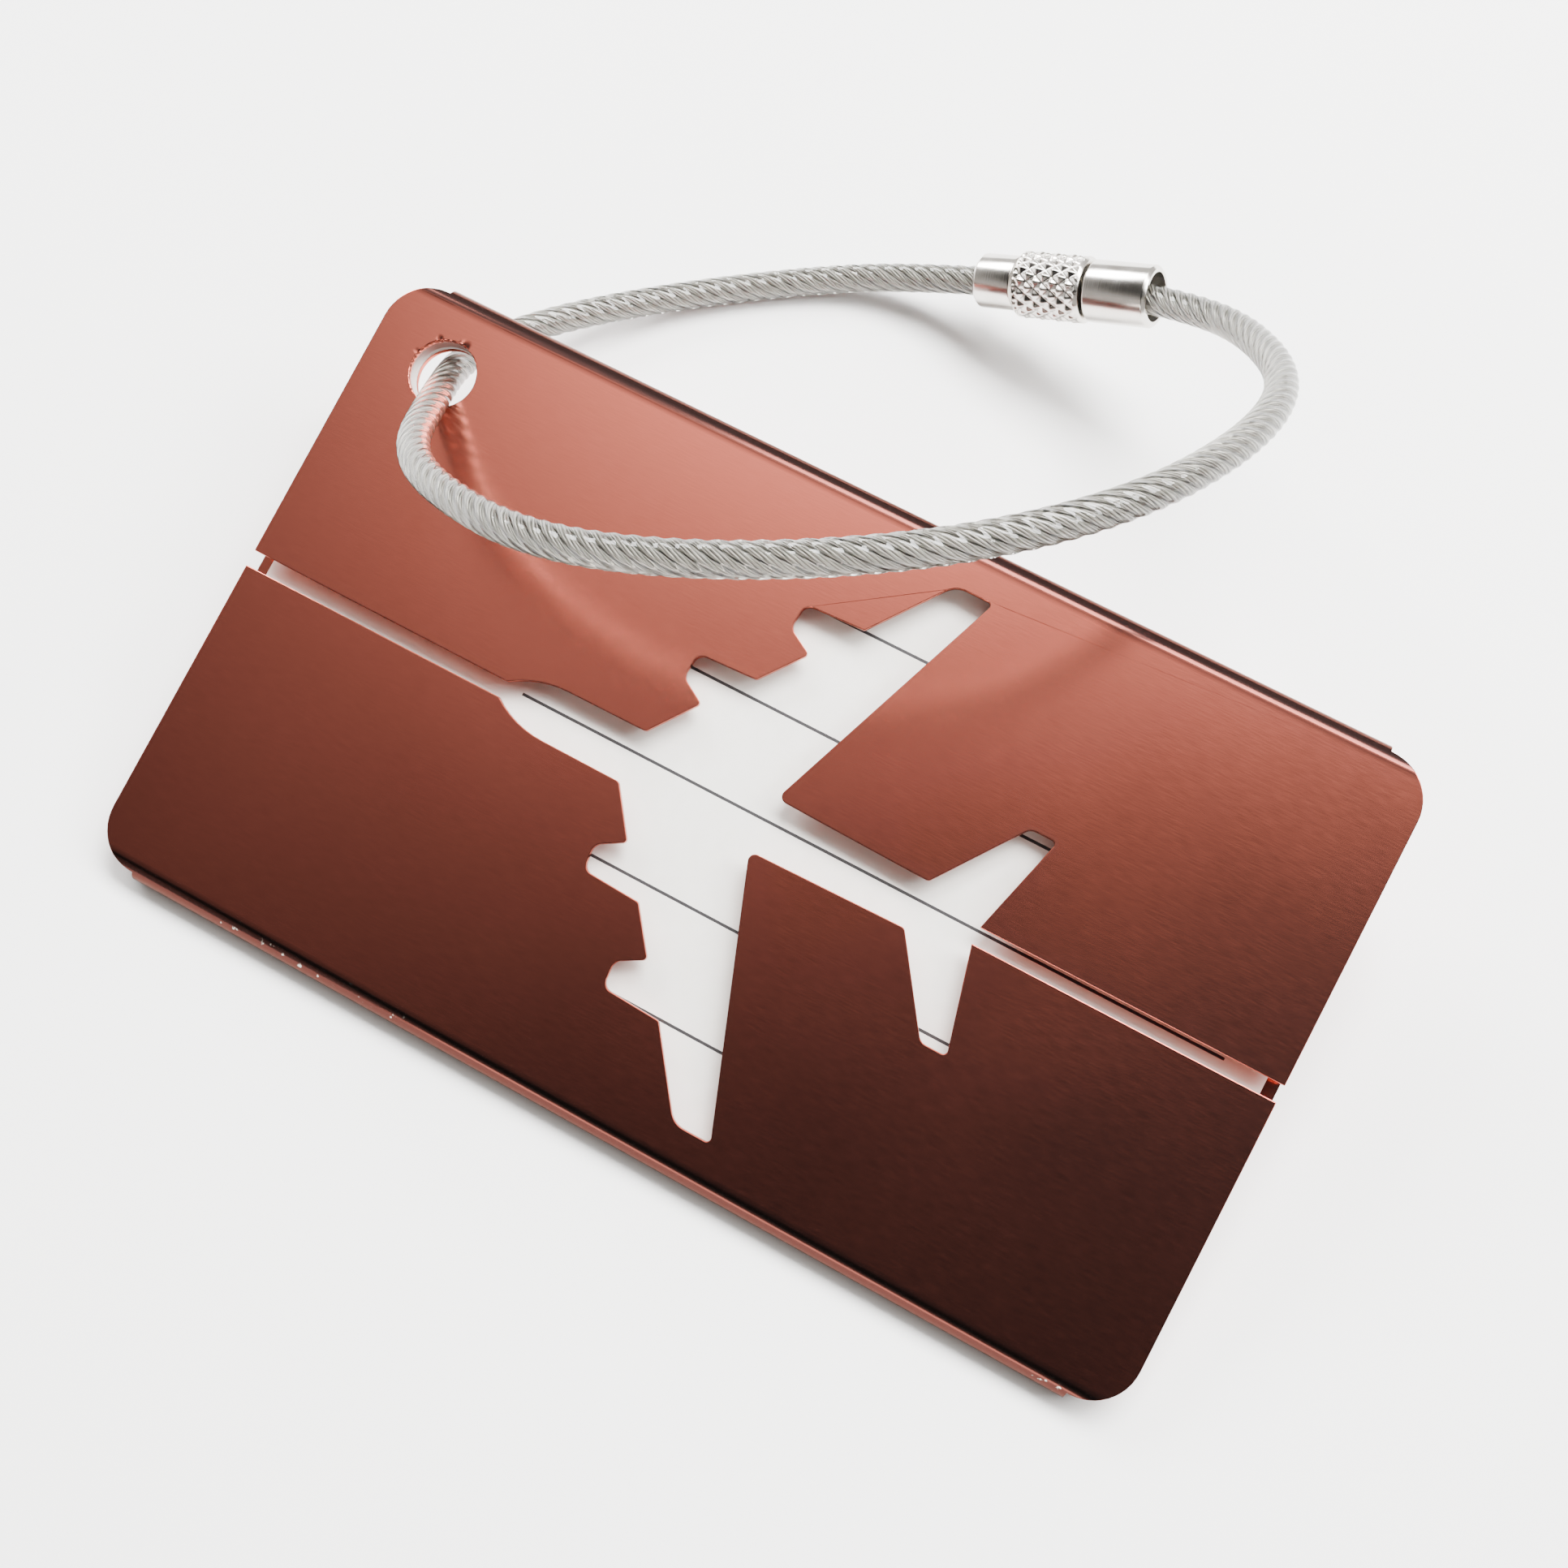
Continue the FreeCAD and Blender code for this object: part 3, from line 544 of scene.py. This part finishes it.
# Wires laid into strands and strands laid into a rope, each wire a copy of the route pushed off it
def ropeTree():
    tree, given = newTree("laid wire rope", [
        ("Steps", wholeSocket), ("Wires", wholeSocket), ("Wires per strand", floatSocket),
        ("Strands", floatSocket), ("Rope lay", floatSocket), ("Strand centre", floatSocket),
        ("Strand lay", floatSocket), ("Wire centre", floatSocket), ("Wire radius", floatSocket),
        ("Wire sides", wholeSocket), ("Core radius", floatSocket), ("Core sides", wholeSocket)])
    line = addNode(tree, "GeometryNodeMeshToCurve", {"Mesh": given["Geometry"]}).outputs[0]
    line = addNode(tree, "GeometryNodeResampleCurve", {
        "Curve": line, "Count": given["Steps"]}).outputs[0]
    copies = addNode(tree, "GeometryNodeDuplicateElements", {
        "Geometry": line, "Amount": given["Wires"]},
                     domain="SPLINE")
    number = copies.outputs["Duplicate Index"]
    along = addNode(tree, "GeometryNodeSplineParameter").outputs["Length"]
    tangent = addNode(tree, "GeometryNodeInputTangent").outputs[0]
    normal = addNode(tree, "GeometryNodeInputNormal").outputs[0]
    side = addNode(tree, "ShaderNodeVectorMath", {0: tangent, 1: normal},
                   operation="CROSS_PRODUCT").outputs[0]

    share = addNode(tree, "ShaderNodeMath", {0: number, 1: given["Wires per strand"]},
                    operation="DIVIDE").outputs[0]
    strand = addNode(tree, "ShaderNodeMath", {0: share}, operation="FLOOR").outputs[0]
    strand = addNode(tree, "ShaderNodeMath", {0: strand, 1: given["Strands"]},
                     operation="DIVIDE").outputs[0]
    turns = addNode(tree, "ShaderNodeMath", {0: along, 1: given["Rope lay"]},
                    operation="DIVIDE").outputs[0]
    turns = addNode(tree, "ShaderNodeMath", {0: turns, 1: strand}).outputs[0]
    angle = addNode(tree, "ShaderNodeMath", {0: turns, 1: 2 * math.pi}, operation="MULTIPLY").outputs[0]
    outwards = addNode(tree, "ShaderNodeVectorRotate", {
        "Vector": normal, "Axis": tangent, "Angle": angle}).outputs[0]
    lean = addNode(tree, "ShaderNodeVectorMath", {0: tangent, 1: outwards},
                   operation="CROSS_PRODUCT").outputs[0]
    strandPush = addNode(tree, "ShaderNodeVectorMath", {0: outwards, "Scale": given["Strand centre"]},
                         operation="SCALE").outputs[0]

    # the strand's own direction leans off the rope's by the lay angle
    rate = addNode(tree, "ShaderNodeMath", {0: given["Strand centre"], 1: given["Rope lay"]},
                   operation="DIVIDE").outputs[0]
    rate = addNode(tree, "ShaderNodeMath", {0: rate, 1: 2 * math.pi}, operation="MULTIPLY").outputs[0]
    leaning = addNode(tree, "ShaderNodeVectorMath", {0: lean, "Scale": rate},
                      operation="SCALE").outputs[0]
    leaning = addNode(tree, "ShaderNodeVectorMath", {0: leaning, 1: tangent}).outputs[0]
    leaning = addNode(tree, "ShaderNodeVectorMath", {0: leaning}, operation="NORMALIZE").outputs[0]
    place = addNode(tree, "ShaderNodeMath", {0: share}, operation="FRACT").outputs[0]
    wireTurns = addNode(tree, "ShaderNodeMath", {0: along, 1: given["Strand lay"]},
                        operation="DIVIDE").outputs[0]
    wireTurns = addNode(tree, "ShaderNodeMath", {0: wireTurns, 1: place}).outputs[0]
    wireAngle = addNode(tree, "ShaderNodeMath", {0: wireTurns, 1: 2 * math.pi},
                        operation="MULTIPLY").outputs[0]
    wireOut = addNode(tree, "ShaderNodeVectorRotate", {
        "Vector": outwards, "Axis": leaning, "Angle": wireAngle}).outputs[0]
    wirePush = addNode(tree, "ShaderNodeVectorMath", {0: wireOut, "Scale": given["Wire centre"]},
                       operation="SCALE").outputs[0]
    push = addNode(tree, "ShaderNodeVectorMath", {0: strandPush, 1: wirePush}).outputs[0]
    wires = addNode(tree, "GeometryNodeSetPosition", {
        "Geometry": copies.outputs[0], "Offset": push}).outputs[0]
    section = addNode(tree, "GeometryNodeCurvePrimitiveCircle", {
        "Resolution": given["Wire sides"], "Radius": given["Wire radius"]}).outputs[0]
    wires = addNode(tree, "GeometryNodeCurveToMesh", {
        "Curve": wires, "Profile Curve": section, "Fill Caps": True}).outputs[0]
    heart = addNode(tree, "GeometryNodeCurvePrimitiveCircle", {
        "Resolution": given["Core sides"], "Radius": given["Core radius"]}).outputs[0]
    core = addNode(tree, "GeometryNodeCurveToMesh", {
        "Curve": line, "Profile Curve": heart, "Fill Caps": True}).outputs[0]
    joined = addNode(tree, "GeometryNodeJoinGeometry")
    tree.links.new(wires, joined.inputs[0])
    tree.links.new(core, joined.inputs[0])
    return tree, joined.outputs[0]


def makeCable(wireFinish, jacketFinish):
    line = makeRoute()
    path = [tuple(vertex.co) for vertex in line.vertices]
    tree, shape = ropeTree()
    finishTree(tree, shape, wireFinish)
    rope = grow("wire_rope", line.copy(), tree, {
        "Steps": cable["wireSteps"], "Wires": cable["lobes"] * cable["wiresPerStrand"],
        "Wires per strand": float(cable["wiresPerStrand"]), "Strands": float(cable["lobes"]),
        "Rope lay": cable["ropeLay"] * mm, "Strand centre": cable["strandCentre"] * mm,
        "Strand lay": cable["strandLay"] * mm, "Wire centre": cable["wireCentre"] * mm,
        "Wire radius": cable["wireRadius"] * mm, "Wire sides": cable["wireSides"],
        "Core radius": cable["coreRadius"] * mm, "Core sides": cable["coreSides"]}, wireFinish)
    tree, shape = jacketTree()
    finishTree(tree, shape, jacketFinish)
    jacket = grow("clear_jacket", line.copy(), tree, {
        "Steps": cable["steps"], "Sides": cable["jacketSides"], "Radius": cable["jacketRadius"] * mm,
        "Lay": cable["ropeLay"] * mm, "Lobes": float(cable["lobes"]),
        "Lobe height": cable["lobeHeight"] * mm}, jacketFinish)
    # each end sits in its ferrule; the rope and the jacket are shaded smooth and baked in place
    for piece in (rope, jacket):
        piece.data.shade_smooth()
        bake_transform(piece)
    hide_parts("wire_rope_stud_side", "wire_rope_swivel_side")
    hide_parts("clear_coat_stud_side", "clear_coat_swivel_side")
    print("cable: rope", len(rope.data.polygons), "faces, jacket", len(jacket.data.polygons))
    return rope, jacket, path


clasp = {
    "ferruleLength": 3.4, "ferruleRadius": 2.05, "ferruleMouth": 1.6, "ferruleMouthDepth": 1.0,
    "seatGap": 0.05, "stud": 1.5, "studLength": 3.4, "threadDepth": 0.26, "threadPitch": 0.5,
    "nutLength": 5.6, "nutRadius": 2.5, "nutBore": 1.58, "nutLip": 0.8, "nutChamber": 1.2,
    "chamberRadius": 1.95, "lipRadius": 1.4,
    "knurlStarts": 15, "knurlLead": 20.0, "knurlDepth": 0.24, "knurlFlat": 0.8,
    "headRadius": 1.85, "spigotRadius": 1.3, "collarGap": 0.15, "play": 0.1,
    "collarLength": 5.2, "collarRadius": 2.3, "collarMouth": 1.8, "collarMouthDepth": 1.6,
    "coatRadius": 1.1, "ropeInset": 2.4, "chamfer": 0.25, "ease": 0.05, "turnSteps": 176,
    # how finely the outside is cut up along the axis, and where each groove runs out
    "threadStep": 0.04, "threadFlat": 0.8, "threadFrom": 0.25, "threadPast": 0.3, "threadRunout": 0.3,
    "knurlStep": 0.08, "knurlMargin": 0.15, "knurlRunout": 0.12, "cutAbove": 1.2, "under": 0.01,
    "plainSharp": 40, "threadSharp": 60, "knurlSharp": 80,
}


# A closed turning profile, (along, radius), with each corner eased by a small arc. A long outer run is cut
# up where a thread or a knurl goes.
def turningProfile(corners, cutFrom=None, cutTo=None, cutStep=None):
    count, ease, out = len(corners), clasp["ease"], []
    for number, corner in enumerate(corners):
        here, before, after = (Vector(corners[k % count]) for k in (number, number - 1, number + 1))
        if here.y == 0:
            out.append(here)
            continue
        reach = min(ease, (before - here).length / 3, (after - here).length / 3)
        enter = here + (before - here).normalized() * reach
        leave = here + (after - here).normalized() * reach
        for share in (0, 0.25, 0.5, 0.75, 1):
            out.append((enter.lerp(here, share)).lerp(here.lerp(leave, share), share))
    if cutStep is None:
        return out
    fine = []
    for number, point in enumerate(out):
        fine.append(point)
        nextPoint = out[(number + 1) % len(out)]
        if cutFrom <= min(point.x, nextPoint.x) + 1e-6 and max(point.x, nextPoint.x) <= cutTo + 1e-6 \
                and abs(point.y - nextPoint.y) < 1e-6 and point.y > clasp["cutAbove"]:
            pieces = max(1, round((nextPoint - point).length / cutStep))
            fine += [point.lerp(nextPoint, step / pieces) for step in range(1, pieces)]
    return fine


# Turns a profile about X and cuts helical grooves into its outside between two places: one family
# for a screw thread, two crossing families for a diamond knurl
def turningTree():
    tree, given = newTree("turned and cut", [
        ("Profile points", wholeSocket), ("Steps", wholeSocket), ("Starts", floatSocket),
        ("Lead", floatSocket), ("Depth", floatSocket), ("Flat", floatSocket), ("Crossed", floatSocket),
        ("Cut from", floatSocket), ("Cut to", floatSocket), ("Cut outside", floatSocket),
        ("Runout", floatSocket)])
    columns = addNode(tree, "ShaderNodeMath", {0: given["Profile points"], 1: 1.0}).outputs[0]
    rows = addNode(tree, "ShaderNodeMath", {0: given["Steps"], 1: 1.0}).outputs[0]
    grid = addNode(tree, "GeometryNodeMeshGrid", {
        "Size X": 1.0, "Size Y": 1.0, "Vertices X": columns, "Vertices Y": rows}).outputs[0]
    index = addNode(tree, "GeometryNodeInputIndex").outputs[0]
    column = addNode(tree, "ShaderNodeMath", {0: index, 1: rows}, operation="DIVIDE").outputs[0]
    column = addNode(tree, "ShaderNodeMath", {0: column}, operation="FLOOR").outputs[0]
    wrapped = addNode(tree, "ShaderNodeMath", {0: column, 1: given["Profile points"]},
                      operation="MODULO").outputs[0]
    sample = addNode(tree, "GeometryNodeSampleIndex", {
        "Geometry": given["Geometry"], "Value": addNode(tree, "GeometryNodeInputPosition").outputs[0],
        "Index": wrapped}, data_type="FLOAT_VECTOR").outputs[0]
    point = addNode(tree, "ShaderNodeSeparateXYZ", {0: sample}).outputs
    flat = addNode(tree, "ShaderNodeSeparateXYZ", {
        0: addNode(tree, "GeometryNodeInputPosition").outputs[0]}).outputs
    angle = addNode(tree, "ShaderNodeMath", {0: flat["Y"], 1: 2 * math.pi},
                    operation="MULTIPLY").outputs[0]

    family = addNode(tree, "ShaderNodeMath", {0: flat["Y"], 1: given["Starts"]},
                     operation="MULTIPLY").outputs[0]
    pitch = addNode(tree, "ShaderNodeMath", {0: given["Starts"], 1: given["Lead"]},
                    operation="DIVIDE").outputs[0]
    travel = addNode(tree, "ShaderNodeMath", {0: point["X"], 1: pitch}, operation="MULTIPLY").outputs[0]
    one = addNode(tree, "ShaderNodeMath", {0: family, 1: travel}, operation="SUBTRACT").outputs[0]
    other = addNode(tree, "ShaderNodeMath", {0: family, 1: travel}).outputs[0]
    one = addNode(tree, "ShaderNodeMath", {0: one, 1: 0.5}, operation="PINGPONG").outputs[0]
    other = addNode(tree, "ShaderNodeMath", {0: other, 1: 0.5}, operation="PINGPONG").outputs[0]
    single = addNode(tree, "ShaderNodeMath", {0: 0.5, 1: given["Crossed"]},
                     operation="SUBTRACT").outputs[0]
    other = addNode(tree, "ShaderNodeMath", {0: other, 1: single}, operation="MAXIMUM").outputs[0]
    ridge = addNode(tree, "ShaderNodeMath", {0: one, 1: other}, operation="MINIMUM").outputs[0]
    flank = addNode(tree, "ShaderNodeMath", {0: given["Flat"], 1: 0.5}, operation="MULTIPLY").outputs[0]
    ridge = addNode(tree, "ShaderNodeMath", {0: ridge, 1: flank}, operation="DIVIDE").outputs[0]
    ridge = addNode(tree, "ShaderNodeMath", {0: ridge, 1: 1.0}, operation="MINIMUM").outputs[0]
    groove = addNode(tree, "ShaderNodeMath", {0: 1.0, 1: ridge}, operation="SUBTRACT").outputs[0]
    groove = addNode(tree, "ShaderNodeMath", {0: groove, 1: given["Depth"]},
                     operation="MULTIPLY").outputs[0]

    fromEdge = addNode(tree, "ShaderNodeMath", {0: point["X"], 1: given["Cut from"]},
                       operation="SUBTRACT").outputs[0]
    toEdge = addNode(tree, "ShaderNodeMath", {0: given["Cut to"], 1: point["X"]},
                     operation="SUBTRACT").outputs[0]
    nearest = addNode(tree, "ShaderNodeMath", {0: fromEdge, 1: toEdge}, operation="MINIMUM").outputs[0]
    fade = addNode(tree, "ShaderNodeMath", {0: nearest, 1: given["Runout"]},
                   operation="DIVIDE").outputs[0]
    fade = addNode(tree, "ShaderNodeClamp", {0: fade}).outputs[0]
    outside = addNode(tree, "ShaderNodeMath", {0: point["Y"], 1: given["Cut outside"]},
                      operation="GREATER_THAN").outputs[0]
    groove = addNode(tree, "ShaderNodeMath", {0: groove, 1: fade}, operation="MULTIPLY").outputs[0]
    groove = addNode(tree, "ShaderNodeMath", {0: groove, 1: outside}, operation="MULTIPLY").outputs[0]
    radius = addNode(tree, "ShaderNodeMath", {0: point["Y"], 1: groove},
                     operation="SUBTRACT").outputs[0]

    cosine = addNode(tree, "ShaderNodeMath", {0: angle}, operation="COSINE").outputs[0]
    sine = addNode(tree, "ShaderNodeMath", {0: angle}, operation="SINE").outputs[0]
    sideways = addNode(tree, "ShaderNodeMath", {0: radius, 1: cosine}, operation="MULTIPLY").outputs[0]
    upwards = addNode(tree, "ShaderNodeMath", {0: radius, 1: sine}, operation="MULTIPLY").outputs[0]
    place = addNode(tree, "ShaderNodeCombineXYZ", {0: point["X"], 1: sideways, 2: upwards}).outputs[0]
    turned = addNode(tree, "GeometryNodeSetPosition", {"Geometry": grid, "Position": place}).outputs[0]
    closed = addNode(tree, "GeometryNodeMergeByDistance", {
        "Geometry": turned, "Distance": 1e-7}).outputs[0]
    return tree, closed


def makeTurned(name, profile, start, body, node, finish, cut):
    mesh = bpy.data.meshes.new(name)
    count = len(profile)
    mesh.from_pydata([(point.x * mm, point.y * mm, 0) for point in profile],
                     [(k, (k + 1) % count) for k in range(count)], [])
    tree, shape = turningTree()
    finishTree(tree, shape, finish)
    piece = grow(name, mesh, tree, {
        "Profile points": count, "Steps": clasp["turnSteps"], "Starts": cut["starts"],
        "Lead": cut["lead"] * mm, "Depth": cut["depth"] * mm, "Flat": cut["flat"], "Crossed": cut["crossed"],
        "Cut from": cut["start"] * mm, "Cut to": cut["end"] * mm, "Cut outside": cut["outside"] * mm,
        "Runout": cut["runout"] * mm}, finish)
    across = claspAxis.cross(tagNormal).normalized()
    piece.data.transform(placeFrom(claspAxis, across, claspAxis.cross(across), start))
    shell = bmesh.new()
    shell.from_mesh(piece.data)
    bmesh.ops.dissolve_degenerate(shell, dist=1e-8, edges=shell.edges)
    bmesh.ops.recalc_face_normals(shell, faces=shell.faces)
    shell.to_mesh(piece.data)
    shell.free()
    piece.data.shade_smooth()
    piece.data.set_sharp_from_angle(angle=math.radians(cut["sharp"]))
    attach(piece, body)
    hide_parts(node)
    print("clasp:", name, len(piece.data.polygons), "faces")
    return piece


def makeClasp(plain, knurled):
    c = clasp
    uncut = {"starts": 1.0, "lead": 1.0, "depth": 0.0, "flat": 1.0, "crossed": 0.0, "start": 0.0,
             "end": 1.0, "outside": 9.0, "runout": 1.0, "sharp": c["plainSharp"]}
    studEnd = c["ferruleLength"] + c["studLength"]
    studProfile = turningProfile([
        (0, c["ferruleMouth"]), (0, c["ferruleRadius"] - c["chamfer"]), (c["chamfer"], c["ferruleRadius"]),
        (c["ferruleLength"] - c["chamfer"], c["ferruleRadius"]),
        (c["ferruleLength"], c["ferruleRadius"] - c["chamfer"]), (c["ferruleLength"], c["stud"]),
        (studEnd - c["chamfer"], c["stud"]), (studEnd, c["stud"] - c["chamfer"]), (studEnd, 0),
        (c["ropeInset"], 0), (c["ropeInset"], c["coatRadius"]), (c["ferruleMouthDepth"], c["coatRadius"]),
        (c["ferruleMouthDepth"], c["ferruleMouth"])], c["ferruleLength"], studEnd, c["threadStep"])
    thread = dict(uncut, lead=c["threadPitch"], depth=c["threadDepth"], flat=c["threadFlat"],
                  outside=c["stud"] - c["under"], start=c["ferruleLength"] + c["threadFrom"],
                  end=studEnd + c["threadPast"], runout=c["threadRunout"], sharp=c["threadSharp"])
    stud = makeTurned("stud_ferrule_turned", studProfile, claspStart, "ring", "stud_ferrule", plain,
                      thread)

    nutStart = c["ferruleLength"] + c["seatGap"]
    chamberEnd = c["nutLength"] - c["nutLip"]
    nutProfile = turningProfile([
        (0, c["nutBore"]), (0, c["nutRadius"] - c["chamfer"]), (c["chamfer"], c["nutRadius"]),
        (c["nutLength"] - c["chamfer"], c["nutRadius"]), (c["nutLength"], c["nutRadius"] - c["chamfer"]),
        (c["nutLength"], c["lipRadius"]), (chamberEnd, c["lipRadius"]), (chamberEnd, c["chamberRadius"]),
        (chamberEnd - c["nutChamber"], c["chamberRadius"]), (chamberEnd - c["nutChamber"], c["nutBore"])],
        0, c["nutLength"], c["knurlStep"])
    knurl = dict(uncut, starts=float(c["knurlStarts"]), lead=c["knurlLead"], depth=c["knurlDepth"],
                 flat=c["knurlFlat"], crossed=1.0, outside=c["nutRadius"] - 2 * c["under"],
                 start=c["knurlMargin"], end=c["nutLength"] - c["knurlMargin"], runout=c["knurlRunout"],
                 sharp=c["knurlSharp"])
    nut = makeTurned("knurled_sleeve_nut", nutProfile, claspStart + claspAxis * nutStart * mm, "nut",
                     "knurled_nut", knurled, knurl)

    headBack = -(c["collarGap"] + c["nutLip"] + c["play"])
    headFront = -(c["collarGap"] + c["nutLip"] + c["nutChamber"] - c["play"])
    swivelProfile = turningProfile([
        (headFront, 0), (headFront, c["headRadius"]), (headBack, c["headRadius"]),
        (headBack, c["spigotRadius"]), (0, c["spigotRadius"]), (0, c["collarRadius"] - c["chamfer"]),
        (c["chamfer"], c["collarRadius"]),
        (c["collarLength"] - c["chamfer"], c["collarRadius"]),
        (c["collarLength"], c["collarRadius"] - c["chamfer"]), (c["collarLength"], c["collarMouth"]),
        (c["collarLength"] - c["collarMouthDepth"], c["collarMouth"]),
        (c["collarLength"] - c["collarMouthDepth"], c["coatRadius"]),
        (c["collarLength"] - c["ropeInset"], c["coatRadius"]), (c["collarLength"] - c["ropeInset"], 0)])
    collarStart = nutStart + c["nutLength"] + c["collarGap"]
    swivel = makeTurned("swivel_ferrule_turned", swivelProfile, claspStart + claspAxis * collarStart * mm,
                        "ring_free_end", "swivel_ferrule", plain, uncut)
    return [stud, nut, swivel]


sleeveShape = {
    "weldWithin": 0.002, "edgeWidth": 0.06, "edgeAngle": 40, "edgeSegments": 2, "edgeProfile": 0.6,
    "smoothAngle": 35, "tangentAngle": 15,
    # the flat sheets: their faces' heights, how near a corner has to be, and how far across they reach
    "levels": (1.2, 0.7, -0.7, -1.2), "levelWithin": 0.006, "flatWithin": 0.99999, "sheetHalf": 22.5,
    # dents in the front sheet round the hole: direction in degrees, depth, half width along the rim
    "dents": [(78, 0.07, 0.18), (86, -0.03, 0.14), (124, 0.06, 0.14), (166, 0.03, 0.12)],
    "holeRadius": 2.47, "dentReach": 0.26, "leastDent": 0.001,
    # the grid of cells that the dents are pressed in, a little off the hole's middle
    "dentGrid": 0.12, "dentCells": 28, "gridShift": 0.01, "dentedWithin": 5.04,
}


# Cuts the front sheet round the hole into small cells, so that it can be dented
def cutDentGrid(shell):
    back = tagPlace.inverted()
    reach = sleeveShape["dentGrid"] * sleeveShape["dentCells"]
    near = []
    for face in shell.faces:
        spots = [(back @ vertex.co) / mm - holePlace for vertex in face.verts]
        low = [min(spot[k] for spot in spots) for k in range(3)]
        high = [max(spot[k] for spot in spots) for k in range(3)]
        if low[2] > 0 and max(low[:2]) < reach and min(high[:2]) > -reach:
            near.append(face)
    edges = list({edge for face in near for edge in face.edges})
    cut = near + edges + list({vertex for face in near for vertex in face.verts})
    for direction in (tagLong, tagAcross):
        for cell in range(-sleeveShape["dentCells"], sleeveShape["dentCells"] + 1):
            step = cell * sleeveShape["dentGrid"] + sleeveShape["gridShift"]
            place = holeCentre + direction * step * mm
            made = bmesh.ops.bisect_plane(shell, geom=cut, dist=1e-7, plane_co=place, plane_no=direction)
            cut = made["geom"]


# Presses the dents in and fades them out away from the hole's rim
def pressDents(shell):
    back = tagPlace.inverted()
    for vertex in shell.verts:
        out = (back @ vertex.co) / mm - holePlace
        if out.z < 0:
            continue
        press = 0.0
        beyond = (out.xy.length - sleeveShape["holeRadius"]) / sleeveShape["dentReach"]
        for direction, depth, width in sleeveShape["dents"]:
            swing = math.atan2(out.y, out.x) - math.radians(direction)
            swing = (swing + math.pi) % (2 * math.pi) - math.pi
            aside = swing * sleeveShape["holeRadius"] / width
            press += depth * math.exp(-aside * aside - beyond * beyond)
        if abs(press) > sleeveShape["leastDent"]:
            vertex.co -= tagNormal * press * mm


# Puts the flat sheets' corners exactly in their planes
def levelSheets(shell):
    back = tagPlace.inverted()
    for vertex in shell.verts:
        spot = (back @ vertex.co) / mm
        if (spot - holePlace).xy.length < sleeveShape["dentedWithin"]:
            continue
        for level in sleeveShape["levels"]:
            if abs(spot.z - level) < sleeveShape["levelWithin"]:
                vertex.co += tagNormal * (level - spot.z) * mm


# A corner on the flat sheet takes the sheet's own direction, so the sheet shades flat up to its edges
# and its folds start level with it
def settleNormals(mesh):
    flat = {}
    for face in mesh.polygons:
        facing = tagNormal if face.normal.dot(tagNormal) > 0 else -tagNormal
        if face.normal.dot(facing) > sleeveShape["flatWithin"]:
            for vertex in face.vertices:
                flat.setdefault(vertex, facing)
    tangent = math.cos(math.radians(sleeveShape["tangentAngle"]))
    back = tagPlace.inverted()
    normals = [corner.vector.copy() for corner in mesh.corner_normals]
    for face in mesh.polygons:
        middle = (back @ face.center) / mm
        dented = (middle - holePlace).xy.length <= sleeveShape["dentedWithin"]
        onSheet = abs(middle.y) < sleeveShape["sheetHalf"] and not dented
        facing = tagNormal if face.normal.dot(tagNormal) > 0 else -tagNormal
        for corner in face.loop_indices:
            level = facing if onSheet else flat.get(mesh.loops[corner].vertex_index)
            if level is not None and face.normal.dot(level) > tangent:
                normals[corner] = level
    mesh.normals_split_custom_set(normals)


def makeSleeve(finish):
    mesh = frame["nodes"]["sleeve"].data.copy()
    mesh.name = "anodised_sleeve"
    shell = bmesh.new()
    shell.from_mesh(mesh)
    bmesh.ops.remove_doubles(shell, verts=shell.verts, dist=sleeveShape["weldWithin"] * mm)
    cutDentGrid(shell)
    pressDents(shell)
    shell.normal_update()
    sharp = [edge for edge in shell.edges
             if edge.is_manifold and edge.calc_face_angle(0) > math.radians(sleeveShape["edgeAngle"])]
    bmesh.ops.bevel(shell, geom=sharp, offset=sleeveShape["edgeWidth"] * mm,
                    segments=sleeveShape["edgeSegments"], profile=sleeveShape["edgeProfile"],
                    affect="EDGES", clamp_overlap=False)
    levelSheets(shell)
    shell.to_mesh(mesh)
    shell.free()
    mesh.materials.clear()
    mesh.materials.append(finish)
    piece = link(bpy.data.objects.new("anodised_sleeve", mesh))
    mesh.shade_smooth()
    mesh.set_sharp_from_angle(angle=math.radians(sleeveShape["smoothAngle"]))
    settleNormals(mesh)
    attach(piece, "tag")
    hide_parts("sleeve")
    print("sleeve:", len(mesh.polygons), "faces")


def makeCard(finish):
    node = frame["nodes"]["name_card"]
    node.data.materials.clear()
    node.data.materials.append(finish)
    print("card: printed")


makeCamera()
makeAir()
makeStudio()
print("camera and light: set")
rope, jacket, path = makeCable(stainlessWire(), clearJacket())
turnedFinish = nickelPlate("nickel plate", nickel["turnedRings"], nickel["turnedRoughness"])
knurledFinish = nickelPlate("knurled nickel plate", nickel["knurledRings"], nickel["knurledRoughness"])
ends = makeClasp(turnedFinish, knurledFinish)
makeSleeve(anodisedAluminium())
makeCard(coatedCard())
